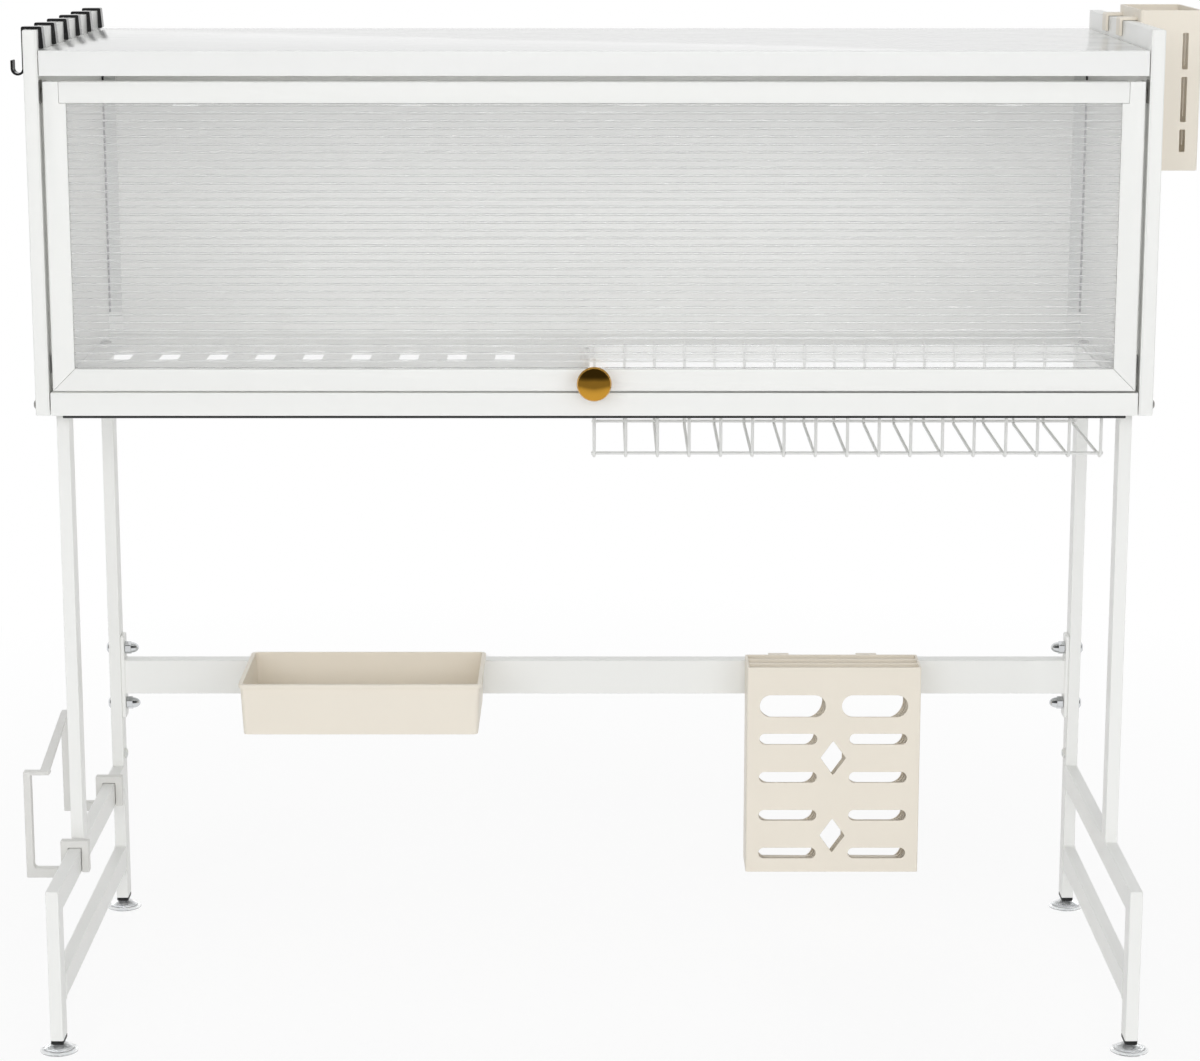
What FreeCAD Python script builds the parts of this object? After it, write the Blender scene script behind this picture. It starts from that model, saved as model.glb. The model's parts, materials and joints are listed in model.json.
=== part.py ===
import FreeCAD, Part
import math
import os

# Over-sink dish rack: a flip-up-door cabinet carried over the sink on two base frames,
# with a wire basket under its floor and small holders hung on its bar, panels and rail.
# Sizes are millimetres. While the pieces are built, X is measured from the middle of the
# rack to the right, Y from the front faces of the front legs to the rear, Z from the floor.

os.makedirs("parts", exist_ok=True)
Vector = FreeCAD.Vector
ALONG_X = Vector(1, 0, 0)
ALONG_Y = Vector(0, 1, 0)
ALONG_Z = Vector(0, 0, 1)

# Faces nearer than this are taken as the same place
touching = 0.01

# Flat sides of small holes and shanks, slot ends and moulded corners
small_sides = 6
slot_end_sides = 5
corner_steps = 2

# Base frames and posts, rectangular steel tube
rack_width = 850.0
base_depth = 371.0
tube_width = 10.0
tube_depth = 20.0
tube_wall = 1.2
tube_bevel = 1.2
tube_inner_bevel = 0.6
foot_height = 11.0
lower_rail_lift = 28.0
rail_gap = 54.0
post_setback = 127.0
post_length = 374.0
spigot_height = 40.0
spigot_clearance = 0.1

# Feet
plug_band = 3.0
plug_depth = 16.0
cup_radius = 15.0
cup_height = 6.5
cup_wall = 1.6
cup_rim = 2.0
cup_edge = 1.0
cup_sides = 16
neck_radius = 4.8
stem_radius = 3.6
stem_length = 8.0
stem_clearance = 0.1

# Cross bar between the rear posts
bar_height = 30.0
bar_depth = 15.0
bar_lift = 15.0
plate_thickness = 3.0
plate_height = 74.0
plate_width = 18.0
bolt_spacing = 50.0
bolt_radius = 3.0
bolt_hole_clearance = 0.2
bolt_head_radius = 5.0
bolt_head_height = 3.0
bolt_head_edge = 1.5
bolt_face_radius = 3.0
nut_across_flats = 10.0
nut_hex_height = 5.5
nut_length = 12.0
nut_dome_radius = 4.7
nut_end_wall = 2.5
nut_dome_sides = 12
nut_dome_steps = 3

# White cap screw in each rear post, just above its joint with the rail
joint_screw_height = 9.0
joint_screw_radius = 2.0
joint_cap_radius = 4.5
joint_cap_height = 2.4
joint_cap_edge = 1.2
joint_cap_face_radius = 2.8

# Cabinet, folded steel sheet
cabinet_setback = 98.0
cabinet_depth = 318.0
panel_height = 298.0
cover_thickness = 10.0
cover_bevel = 0.8
sheet = 1.0
bottom_flange = 18.0
bottom_lip = 8.0
bottom_lip_end_gap = 10.0
shelf_recess = 15.5
top_flange = 19.2
side_flange = 14.0
corner_return = 12.0
flange_notch_gap = 1.0

# Screws through the side panels into the shelves
screw_radius = 1.9
screw_hole_clearance = 0.1
screw_head_radius = 3.6
screw_head_height = 2.2
screw_face_radius = 2.2
screw_end = 4.0
lower_screw_lift = 8.0
upper_screw_drop = 8.0
front_screw_inset = 7.0
middle_screw_inset = 36.0
rear_screw_inset = 280.0

# Screws through the cabinet floor into the tops of the posts
post_screw_radius = 2.5
post_screw_head_radius = 4.5
post_screw_head_height = 2.0
post_screw_face_radius = 3.0
post_screw_length = 14.0
post_insert_depth = 18.0

# Drain slots in the left half of the cabinet floor
slot_width = 16.0
slot_length = 60.0
slot_pitch = 40.0
slot_side_inset = 30.0
slot_basket_inset = 70.0
slot_rear_inset = 99.0
slot_row_pitch = 95.0
slot_rows = 2

# Wire basket hung in an opening of the floor, under the right half
basket_length = 400.0
basket_width = 150.0
basket_side_inset = 25.0
basket_front_inset = 26.0
basket_drop = 38.5
basket_pitch = 25.0
basket_wire = 2.5
basket_rim_wire = 4.0
basket_side_play = 4.0
basket_rest_gap = 0.3
basket_rim_play = 2.0
wire_sides = 6
upstand_height = 10.0

# Flip-up door
door_side_gap = 2.8
door_bottom_gap = 1.0
door_top_gap = 4.2
door_thickness = 14.0
stile_width = 18.0
top_rail_width = 16.5
bottom_rail_width = 18.0
stile_top_width = 12.5
rolled_edge = 2.0
roll_flat = 1 - math.sqrt(0.5)
rear_lip = 6.0
pivot_drop = 8.0

# Clear ribbed door panel and its clips
panel_base = 1.6
rib_height = 0.6
rib_width = 1.6
rib_pitch = 6.0
panel_edge_play = 0.8
clip_width = 20.0
clip_thickness = 1.2
clip_overhang = 2.5
clip_places = (-313.0, -141.0, 30.0, 190.0, 318.0)

# Door hinges and stops
hinge_plate_thickness = 1.2
hinge_plate_height = 18.0
hinge_plate_depth = 11.0
hinge_plate_bevel = 2.0
hinge_pin_radius = 2.0
hinge_pin_clearance = 0.06
hinge_pin_length = 9.0
bush_radius = 3.2
bush_length = 8.0
bush_sides = 8
stop_length = 12.0
stop_height = 15.0
stop_thickness = 3.0
stop_bevel = 1.0
stop_lift = 12.0
stop_gap = 0.3

# Brass door knob
knob_radius = 13.5
knob_projection = 24.0
knob_head_depth = 11.0
knob_face_radius = 9.5
knob_stem_radius = 5.0
knob_base_radius = 7.5
knob_base_edge = 1.5
knob_base_depth = 2.5
knob_back_radius = 10.5
knob_back_rise = 2.0
knob_edge_drop = 6.5
knob_shoulder_drop = 2.5
knob_sides = 24
knob_screw_radius = 2.0
knob_screw_head_radius = 4.0
knob_screw_head_height = 2.4
knob_screw_reach = 10.0

# Holders hung on the cross bar
hang_gap = 0.3
hanger_thickness = 2.5
hanger_width = 18.0
hanger_drop = 12.0
hanger_bevel = 1.2

# Open tray
tray_width = 205.0
tray_depth = 115.0
tray_height = 44.0
tray_middle = -197.5
tray_above_bar = 8.0
tray_wall = 2.0
tray_taper = 2.0
tray_bead = 1.6
tray_bead_height = 3.0
tray_corner = 4.0
tray_hanger_offset = 46.0

# Board and lid holder with three slots
holder_width = 150.0
holder_depth = 46.0
holder_height = 184.0
holder_middle = 206.5
holder_above_bar = 5.5
holder_wall = 2.0
holder_bevel = 1.5
holder_slot_count = 3
holder_hanger_offset = 38.5
holder_hanger_shift = 6.5
window_inset = 11.0
large_window_width = 57.0
large_window_height = 19.5
large_window_drop = 34.5
small_window_width = 50.0
small_window_height = 9.5
small_window_drop = 64.0
small_window_pitch = 34.3
small_window_rows = 4
diamond_width = 22.0
diamond_height = 31.0
diamond_drops = (81.0, 151.0)

# Utensil holder hung on the right panel
utensil_width = 50.0
utensil_depth = 104.0
utensil_height = 128.0
utensil_inset = 125.0
utensil_rise = 9.0
utensil_wall = 2.0
utensil_floor = 2.5
utensil_corner = 3.0
utensil_gap = 0.5
strap_width = 18.0
strap_thickness = 2.4
strap_leg_drop = 12.5
strap_places = (23.0, 95.0)
vent_width = 4.5
vent_columns_across = (14.0, 37.0)
vent_columns_along = (17.5, 40.5, 63.5, 86.5)
vent_rows = ((15.0, 18.0), (39.0, 36.0), (81.0, 29.0))
drain_radius = 4.0
drain_pitch = 26.0

# Hooks over the left panel
hook_count = 6
hook_pitch = 59.0
hook_inset = 8.0
hook_width = 11.0
hook_strap = 1.8
hook_top = 2.0
hook_leg = 2.5
hook_leg_flare = 1.2
hook_leg_drop = 15.0
hook_reach = 10.7
hook_bottom_drop = 35.0
hook_tip_rise = 6.5
hook_gap = 0.3
hook_bend_steps = 6
hook_bevel = 1.0

# Side rack on the left upper rail
rack_strip = 6.0
rack_strip_width = 8.0
rack_foot = 8.0
rack_front_place = 111.0
rack_rear_place = 295.0
rack_play = 0.4
rack_outer_drop = 25.0
rack_inner_drop = 20.5
rack_reach = 34.0
rack_arm_height = 89.0
rack_band = 3.0
rack_jog = 15.0
rack_inside_radius = 3.0

# Places worked out from the sizes above
half_width = rack_width / 2
leg_inner = half_width - tube_width
upper_rail_top = foot_height + lower_rail_lift + tube_depth + rail_gap + tube_depth
lower_rail_bottom = foot_height + lower_rail_lift
rear_leg_front = base_depth - tube_depth
bar_middle_height = upper_rail_top + spigot_height + bar_lift + bolt_spacing / 2
floor_underside = upper_rail_top + post_length
floor_top = floor_underside + sheet
cabinet_bottom = floor_top - bottom_flange
cabinet_front = cabinet_setback
cabinet_rear = cabinet_front + cabinet_depth
panel_top = cabinet_bottom + panel_height
shelf_top = panel_top - shelf_recess
shelf_underside = shelf_top - sheet
liner_inner = half_width
liner_outer = liner_inner + sheet
cover_outer = liner_outer + cover_thickness
bar_middle_depth = rear_leg_front + tube_depth / 2
bar_front = bar_middle_depth - bar_depth / 2
bar_rear = bar_middle_depth + bar_depth / 2
bar_top = bar_middle_height + bar_height / 2
door_half_width = liner_inner - door_side_gap
door_bottom = floor_top + door_bottom_gap
door_top = shelf_top - top_flange - door_top_gap
door_rear = cabinet_front + door_thickness
pivot_height = door_top - pivot_drop
pivot_depth = cabinet_front + door_thickness / 2
basket_front = cabinet_front + basket_front_inset
basket_rear = basket_front + basket_width
basket_right = liner_inner - basket_side_inset
basket_left = basket_right - basket_length
slot_first_x = slot_side_inset - liner_inner
slot_columns = int((basket_left - slot_basket_inset - slot_first_x) / slot_pitch) + 1
basket_floor = cabinet_bottom - basket_drop
upstand_top = floor_top + upstand_height
holder_top = bar_top + holder_above_bar
holder_back = bar_front - hang_gap
tray_top = bar_top + tray_above_bar
utensil_left = cover_outer + utensil_gap
utensil_front = cabinet_front + utensil_inset
utensil_top = panel_top + utensil_rise

# The finished rack stands with its origin on the floor, under the middle of its outer box
box_left = -(half_width + rack_play + rack_reach)
box_right = utensil_left + utensil_width
box_front = tube_depth / 2 - cup_radius
box_rear = cabinet_rear
origin_x = (box_left + box_right) / 2
origin_y = (box_front + box_rear) / 2


# Shapes that several pieces share

def block(x0, x1, y0, y1, z0, z1):
    corner = Vector(min(x0, x1), min(y0, y1), min(z0, z1))
    return Part.makeBox(abs(x1 - x0), abs(y1 - y0), abs(z1 - z0), corner)


def rod(radius, start, direction, length):
    return Part.makeCylinder(radius, length, start, direction)


def fused(shapes):
    return shapes[0].fuse(shapes[1:]).removeSplitter()


def prism(points, sweep):
    wire = Part.makePolygon(points + [points[0]])
    return Part.Face(wire).extrude(sweep)


def mirrored(shape):
    return shape.mirror(Vector(0, 0, 0), ALONG_X)


def both_sides(shape):
    return [mirrored(shape), shape]


def edges_along(shape, direction):
    found = []
    for edge in shape.Edges:
        start = edge.Vertexes[0].Point
        step = edge.Vertexes[-1].Point - start
        if step.Length > 0 and abs(step.normalize().dot(direction)) > 0.999:
            found.append(edge)
    return found


def bevelled_block(x0, x1, y0, y1, z0, z1, direction, bevel):
    solid = block(x0, x1, y0, y1, z0, z1)
    return solid.makeChamfer(bevel, edges_along(solid, direction))


def slot_prism(length, width, middle, along, across, sweep):
    """A slot with round ends of a few flat sides, swept through a wall."""
    radius = width / 2
    straight = length / 2 - radius
    points = []
    for end in (1, -1):
        for step in range(slot_end_sides + 1):
            angle = math.pi * step / slot_end_sides
            points.append(middle + along * end * (straight + radius * math.sin(angle))
                          + across * end * radius * math.cos(angle))
    return prism(points, sweep)


def square_to(direction):
    """Two unit vectors that are square to a direction and to each other."""
    across = ALONG_Z if abs(direction.dot(ALONG_Z)) < 0.5 else ALONG_X
    return across, direction.cross(across)


def ring_of(count, radius, centre, direction, first_angle=0.0):
    across, other = square_to(direction)
    corners = []
    for step in range(count):
        angle = first_angle + 2 * math.pi * step / count
        corners.append(centre + across * radius * math.cos(angle) + other * radius * math.sin(angle))
    return corners


def small_hole(radius, start, direction, length):
    """Drilled hole for a small fastener, with as many flat sides as the fastener's shank."""
    return prism(ring_of(small_sides, radius, start, direction), direction * length)


def turned(profile, centre, direction, sides):
    """A profile of (radius, distance) points turned about an axis in equal flat sides."""
    rings = [ring_of(sides, radius, centre + direction * distance, direction)
             for radius, distance in profile]
    faces = []
    for index in range(len(profile) - 1):
        if profile[index][0] == 0 and profile[index + 1][0] == 0:
            continue
        for step in range(sides):
            following = (step + 1) % sides
            corners = [rings[index][step]]
            if profile[index][0] > 0:
                corners.append(rings[index][following])
            if profile[index + 1][0] > 0:
                corners.append(rings[index + 1][following])
            corners.append(rings[index + 1][step])
            faces.append(Part.Face(Part.makePolygon(corners + [corners[0]])))
    shell = Part.makeShell(faces)
    shell.sewShape()
    return Part.makeSolid(shell).removeSplitter()


def save(name, shape):
    placed = shape.copy()
    placed.translate(Vector(-origin_x, -origin_y, 0))
    placed.exportStep("parts/" + name + ".step")


# Base frames and posts

def tube_section(centre, width, depth, bevel):
    """Closed outline of a tube that stands along Z, with bevelled corners."""
    corners = []
    for across, along in ((1, 1), (-1, 1), (-1, -1), (1, -1)):
        near_side = Vector(across * width / 2, along * (depth / 2 - bevel), 0)
        near_end = Vector(across * (width / 2 - bevel), along * depth / 2, 0)
        pair = [near_side, near_end] if across * along > 0 else [near_end, near_side]
        corners += [centre + corner for corner in pair]
    return Part.makePolygon(corners + [corners[0]])


def bent_tube(path_points, width, depth, bevel):
    """Tube swept through mitred corners, its first run standing along Z."""
    path = Part.makePolygon(path_points)
    section = tube_section(path_points[0], width, depth, bevel)
    mitred_corner = 1
    return path.makePipeShell([section], True, False, mitred_corner)


def base_frame():
    """Right base frame: front leg, upper rail and rear leg in one, with the lower rail."""
    middle_x = half_width - tube_width / 2
    front_y = tube_depth / 2
    rear_y = base_depth - tube_depth / 2
    rail_z = upper_rail_top - tube_depth / 2
    inner_width = tube_width - 2 * tube_wall
    inner_depth = tube_depth - 2 * tube_wall
    corners = [(front_y, foot_height), (front_y, rail_z), (rear_y, rail_z), (rear_y, foot_height)]
    path = [Vector(middle_x, y, z) for y, z in corners]
    outer = bent_tube(path, tube_width, tube_depth, tube_bevel)
    bore = bent_tube(path, inner_width, inner_depth, tube_inner_bevel)
    rail_top = lower_rail_bottom + tube_depth
    rail = bevelled_block(leg_inner, half_width, tube_depth, rear_leg_front,
                          lower_rail_bottom, rail_top, ALONG_Y, tube_bevel)
    rail_bore = block(leg_inner + tube_wall, half_width - tube_wall, tube_depth, rear_leg_front,
                      lower_rail_bottom + tube_wall, rail_top - tube_wall)
    spigots = [spigot(place) for place in (post_setback, rear_leg_front)]
    frame = fused([outer, rail] + spigots)
    return frame.cut([bore, rail_bore, joint_screw_hole()])


def spigot(post_front):
    """Short tube welded on the upper rail, over which a post is pushed."""
    play = tube_wall + spigot_clearance
    x0 = leg_inner + play
    x1 = half_width - play
    y0 = post_front + play
    y1 = post_front + tube_depth - play
    top = upper_rail_top + spigot_height
    shell = block(x0, x1, y0, y1, upper_rail_top, top)
    hollow = block(x0 + tube_wall, x1 - tube_wall, y0 + tube_wall, y1 - tube_wall,
                   upper_rail_top, top)
    return shell.cut(hollow)


def joint_screw_seat():
    return Vector(leg_inner, rear_leg_front + tube_depth / 2, upper_rail_top + joint_screw_height)


def joint_screw_hole():
    reach = 2 * tube_wall + spigot_clearance
    return small_hole(joint_screw_radius + screw_hole_clearance, joint_screw_seat(), ALONG_X, reach)


def joint_screw():
    """White cap screw that locks the right rear post on its spigot."""
    reach = 2 * tube_wall + spigot_clearance
    profile = [(0, -reach), (joint_screw_radius, -reach), (joint_screw_radius, 0),
               (joint_cap_radius, 0), (joint_cap_radius, joint_cap_edge),
               (joint_cap_face_radius, joint_cap_height), (0, joint_cap_height)]
    return turned(profile, joint_screw_seat(), -ALONG_X, small_sides)


def post(post_front):
    """Right upper post, open at both ends."""
    rear = post_front + tube_depth
    shell = bevelled_block(leg_inner, half_width, post_front, rear,
                           upper_rail_top, floor_underside, ALONG_Z, tube_bevel)
    hollow = block(leg_inner + tube_wall, half_width - tube_wall,
                   post_front + tube_wall, rear - tube_wall, upper_rail_top, floor_underside)
    return shell.cut(hollow)


def rear_post():
    holes = [bolt_hole(height, half_width, tube_width) for height in bolt_heights()]
    return post(rear_leg_front).cut(holes + [joint_screw_hole()])


def post_insert(post_front):
    """Threaded plug pressed into the top of a right post."""
    insert = block(leg_inner + tube_wall, half_width - tube_wall,
                   post_front + tube_wall, post_front + tube_depth - tube_wall,
                   floor_underside - post_insert_depth, floor_underside)
    start = Vector(half_width - tube_width / 2, post_front + tube_depth / 2, floor_underside)
    thread = small_hole(post_screw_radius + screw_hole_clearance, start, -ALONG_Z, post_insert_depth)
    return insert.cut(thread)


def post_screw(post_front):
    """Screw from inside the cabinet into the right post's plug."""
    seat = Vector(half_width - tube_width / 2, post_front + tube_depth / 2, floor_top)
    profile = [(0, -post_screw_length), (post_screw_radius, -post_screw_length),
               (post_screw_radius, 0), (post_screw_head_radius, 0),
               (post_screw_face_radius, post_screw_head_height), (0, post_screw_head_height)]
    return turned(profile, seat, ALONG_Z, small_sides)


# Feet

def foot_places():
    x = half_width - tube_width / 2
    front = tube_depth / 2
    rear = base_depth - tube_depth / 2
    return [Vector(side * x, y, 0) for side in (-1, 1) for y in (front, rear)]


def foot_plug(place):
    """Black plug with a band under the tube's end and a socket for the cup's stem."""
    band = bevelled_block(place.x - tube_width / 2, place.x + tube_width / 2,
                          place.y - tube_depth / 2, place.y + tube_depth / 2,
                          foot_height - plug_band, foot_height, ALONG_Z, tube_bevel)
    body = bevelled_block(place.x - tube_width / 2 + tube_wall, place.x + tube_width / 2 - tube_wall,
                          place.y - tube_depth / 2 + tube_wall, place.y + tube_depth / 2 - tube_wall,
                          foot_height, foot_height + plug_depth, ALONG_Z, tube_inner_bevel)
    start = Vector(place.x, place.y, foot_height - plug_band)
    socket = small_hole(stem_radius + stem_clearance, start, ALONG_Z, stem_length + stem_clearance)
    plug = fused([band, body])
    return plug.cut(socket)


def suction_cup(place):
    """Clear cup: a low cone, hollow below, with a neck and a stem pushed into the plug."""
    neck_top = foot_height - plug_band
    cup_profile = [(0, cup_height - cup_wall), (cup_radius - cup_rim, 0), (cup_radius, 0),
                   (cup_radius, cup_edge), (neck_radius, cup_height), (neck_radius, neck_top),
                   (0, neck_top)]
    cup = turned(cup_profile, place, ALONG_Z, cup_sides)
    stem = small_hole(stem_radius, place + ALONG_Z * neck_top, ALONG_Z, stem_length)
    return fused([cup, stem])


# Cross bar and its fasteners

def bolt_heights():
    return [bar_middle_height + sign * bolt_spacing / 2 for sign in (-1, 1)]


def bolt_hole(height, outer, length):
    start = Vector(outer, bar_middle_depth, height)
    return small_hole(bolt_radius + bolt_hole_clearance, start, -ALONG_X, length)


def cross_bar():
    """Tube between the rear posts with a welded plate at each end."""
    plate_inner = leg_inner - plate_thickness
    z0 = bar_middle_height - bar_height / 2
    tube = bevelled_block(-plate_inner, plate_inner, bar_front, bar_rear, z0, bar_top,
                          ALONG_X, tube_bevel)
    y0 = bar_middle_depth - plate_width / 2
    y1 = bar_middle_depth + plate_width / 2
    low = bar_middle_height - plate_height / 2
    plate = bevelled_block(plate_inner, leg_inner, y0, y1, low, low + plate_height,
                           ALONG_X, tube_bevel)
    bar = fused([tube] + both_sides(plate))
    bore = block(-plate_inner, plate_inner, bar_front + tube_wall, bar_rear - tube_wall,
                 z0 + tube_wall, bar_top - tube_wall)
    holes = [bore]
    for height in bolt_heights():
        holes += both_sides(bolt_hole(height, leg_inner, plate_thickness))
    return bar.cut(holes)


def bar_bolt(height):
    """Bolt from outside the right post; its round head stays outside."""
    length = tube_width + plate_thickness + nut_length - nut_end_wall - screw_hole_clearance
    profile = [(0, -length), (bolt_radius, -length), (bolt_radius, 0), (bolt_head_radius, 0),
               (bolt_head_radius, bolt_head_edge), (bolt_face_radius, bolt_head_height),
               (0, bolt_head_height)]
    seat = Vector(half_width, bar_middle_depth, height)
    return turned(profile, seat, ALONG_X, small_sides)


def dome_nut(height):
    """Hexagon with a domed cap, on the inner face of the right end plate."""
    seat = Vector(leg_inner - plate_thickness, bar_middle_depth, height)
    reach = nut_across_flats / math.sqrt(3)
    hexagon = prism(ring_of(6, reach, seat, -ALONG_X), -ALONG_X * nut_hex_height)
    dome_length = nut_length - nut_hex_height
    profile = [(0, nut_hex_height)]
    for step in range(nut_dome_steps):
        angle = math.pi / 2 * step / nut_dome_steps
        profile.append((nut_dome_radius * math.cos(angle), nut_hex_height + dome_length * math.sin(angle)))
    profile.append((0, nut_length))
    dome = turned(profile, seat, -ALONG_X, nut_dome_sides)
    thread = small_hole(bolt_radius + screw_hole_clearance, seat, -ALONG_X, nut_length - nut_end_wall)
    return fused([hexagon, dome]).cut(thread)


# Cabinet

def panel_screw_places():
    """Depth and height of each screw through the right side panel."""
    low = cabinet_bottom + lower_screw_lift
    high = shelf_top - upper_screw_drop
    return [
        (cabinet_front + front_screw_inset, low),
        (cabinet_front + rear_screw_inset, low),
        (cabinet_front + middle_screw_inset, high),
        (cabinet_front + rear_screw_inset, high),
    ]


def panel_screw_holes():
    length = cover_thickness + 2 * sheet
    radius = screw_radius + screw_hole_clearance
    return [small_hole(radius, Vector(cover_outer, y, z), -ALONG_X, length)
            for y, z in panel_screw_places()]


def panel_screw(y, z):
    """Screw from outside through the right panel into a shelf's or the floor's side flange."""
    length = cover_thickness + 2 * sheet + screw_end
    profile = [(0, -length), (screw_radius, -length), (screw_radius, 0), (screw_head_radius, 0),
               (screw_face_radius, screw_head_height), (0, screw_head_height)]
    return turned(profile, Vector(cover_outer, y, z), ALONG_X, small_sides)


def side_cover():
    """Outer tray of the right side panel, with folded edges all round."""
    outer = block(liner_outer, cover_outer, cabinet_front, cabinet_rear, cabinet_bottom, panel_top)
    outer_edges = [edge for edge in edges_along(outer, ALONG_Y) + edges_along(outer, ALONG_Z)
                   if abs(edge.CenterOfMass.x - cover_outer) < touching]
    outer = outer.makeChamfer(cover_bevel, outer_edges)
    hollow = block(liner_outer, cover_outer - sheet, cabinet_front + sheet, cabinet_rear - sheet,
                   cabinet_bottom + sheet, panel_top - sheet)
    return outer.cut([hollow] + panel_screw_holes())


def side_liner():
    """Inner sheet of the right side panel, folded in at the rear to take the back panel."""
    wall = block(liner_inner, liner_outer, cabinet_front, cabinet_rear, cabinet_bottom, panel_top)
    fold = block(liner_inner - corner_return, liner_inner, cabinet_rear - 2 * sheet,
                 cabinet_rear - sheet, floor_top, shelf_top - top_flange)
    liner = fused([wall, fold])
    return liner.cut(panel_screw_holes())


def top_shelf():
    """Flat top with folded flanges, set below the top edges of the side panels."""
    underside = shelf_top - sheet
    front_bottom = shelf_top - top_flange
    top = block(-liner_inner, liner_inner, cabinet_front, cabinet_rear, underside, shelf_top)
    front = block(-liner_inner, liner_inner, cabinet_front, cabinet_front + sheet, front_bottom, shelf_top)
    lip = block(-liner_inner, liner_inner, cabinet_front, cabinet_front + bottom_lip / 2,
                front_bottom, front_bottom + sheet)
    rear = block(-liner_inner, liner_inner, cabinet_rear - 2 * sheet, cabinet_rear - sheet,
                 front_bottom, shelf_top)
    side = block(liner_inner - sheet, liner_inner, cabinet_front + bottom_lip, cabinet_rear - 2 * corner_return,
                 underside - side_flange, shelf_top)
    shelf = fused([top, front, lip, rear] + both_sides(side))
    front_edge = [edge for edge in edges_along(shelf, ALONG_X)
                  if abs(edge.CenterOfMass.y - cabinet_front) < touching
                  and abs(edge.CenterOfMass.z - shelf_top) < touching]
    shelf = shelf.makeFillet(sheet, front_edge)
    holes = []
    for hole in panel_screw_holes():
        holes += both_sides(hole)
    return shelf.cut(holes)


def cabinet_floor():
    """Folded floor: drain slots on the left, the basket's opening on the right."""
    floor = block(-liner_inner, liner_inner, cabinet_front, cabinet_rear - sheet,
                  floor_underside, floor_top)
    front = block(-liner_inner, liner_inner, cabinet_front, cabinet_front + sheet,
                  cabinet_bottom, floor_top)
    lip_end = liner_inner - bottom_lip_end_gap
    lip = block(-lip_end, lip_end, cabinet_front, cabinet_front + bottom_lip,
                cabinet_bottom, cabinet_bottom + sheet)
    rear = block(-liner_inner, liner_inner, cabinet_rear - 2 * sheet, cabinet_rear - sheet,
                 cabinet_bottom, floor_top)
    side = block(liner_inner - sheet, liner_inner, cabinet_front, cabinet_rear - 2 * sheet,
                 floor_underside - side_flange, floor_top)
    for post_front in (post_setback, rear_leg_front):
        notch = block(liner_inner - sheet, liner_inner, post_front - flange_notch_gap,
                      post_front + tube_depth + flange_notch_gap,
                      floor_underside - side_flange, floor_underside)
        side = side.cut(notch)
    x0, x1, y0, y1 = basket_opening()
    upstand = block(x0 - sheet, x1 + sheet, y0 - sheet, y1 + sheet, floor_underside, upstand_top)
    shelf = fused([floor, front, lip, rear, upstand] + both_sides(side))
    holes = [block(x0, x1, y0, y1, floor_underside, upstand_top)]
    holes += drain_slots()
    for post_front in (post_setback, rear_leg_front):
        start = Vector(half_width - tube_width / 2, post_front + tube_depth / 2, floor_underside)
        hole = small_hole(post_screw_radius + screw_hole_clearance, start, ALONG_Z, sheet)
        holes += both_sides(hole)
    for hole in panel_screw_holes():
        holes += both_sides(hole)
    return shelf.cut(holes)


def basket_opening():
    play = basket_side_play
    return basket_left - play, basket_right + play, basket_front - play, basket_rear + play


def drain_slots():
    """Rows of long round-ended slots that run from front to rear."""
    slots = []
    for row in range(slot_rows):
        y = cabinet_rear - slot_rear_inset - slot_length / 2 - row * slot_row_pitch
        for column in range(slot_columns):
            middle = Vector(slot_first_x + column * slot_pitch, y, floor_underside)
            slots.append(slot_prism(slot_length, slot_width, middle, ALONG_Y, ALONG_X, ALONG_Z * sheet))
    return slots


def back_panel():
    """Flat sheet spot-welded behind the shelf, the floor and the liners' folds."""
    return block(-liner_inner, liner_inner, cabinet_rear - sheet, cabinet_rear,
                 cabinet_bottom, shelf_underside)


# Wire basket

def wire_run(points, radius):
    """Six-sided wire swept along straight runs with mitred bends, flats above and below."""
    direction = (points[1] - points[0]).normalize()
    flat_up = math.pi / wire_sides
    corners = ring_of(wire_sides, radius / math.cos(flat_up), points[0], direction, flat_up)
    section = Part.makePolygon(corners + [corners[0]])
    mitred_corner = 1
    return Part.makePolygon(points).makePipeShell([section], True, False, mitred_corner)


def basket_hook_height():
    """Height of the middle of the cross wires where they lie on the rim."""
    return upstand_top + basket_rest_gap + basket_wire / 2


def basket_reach():
    """How far the rim's middle stands outside the opening in the floor."""
    return sheet + basket_rim_play + basket_rim_wire / 2


def basket_rim():
    """Rim wire round the upstand, closed by a weld at the middle of its front."""
    x0, x1, y0, y1 = basket_opening()
    out = basket_reach()
    z = basket_hook_height() - (basket_wire + basket_rim_wire) / 2
    ring = [Vector(x0 - out, y0 - out, z), Vector(x1 + out, y0 - out, z),
            Vector(x1 + out, y1 + out, z), Vector(x0 - out, y1 + out, z)]
    weld = (ring[0] + ring[1]) * 0.5
    return wire_run([weld] + ring[1:] + [ring[0], weld], basket_rim_wire / 2)


def basket_cross_wires():
    """U-shaped wires whose turned-out ends are welded on the rim."""
    x0, x1, y0, y1 = basket_opening()
    out = basket_reach()
    low = basket_floor + basket_wire / 2
    high = basket_hook_height()
    outline = [(y0 - out, high), (basket_front, high), (basket_front, low),
               (basket_rear, low), (basket_rear, high), (y1 + out, high)]
    count = int(round(basket_length / basket_pitch)) + 1
    places = [basket_left + index * basket_length / (count - 1) for index in range(count)]
    return [wire_run([Vector(x, y, z) for y, z in outline], basket_wire / 2) for x in places]


def basket_floor_wires():
    """Two long wires welded on the cross wires, inside the basket."""
    z = basket_floor + basket_wire * 1.5
    runs = []
    for y in (basket_front + basket_wire, basket_rear - basket_wire):
        start = Vector(basket_left - basket_wire, y, z)
        end = Vector(basket_right + basket_wire, y, z)
        runs.append(wire_run([start, end], basket_wire / 2))
    return runs


# Door

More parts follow.
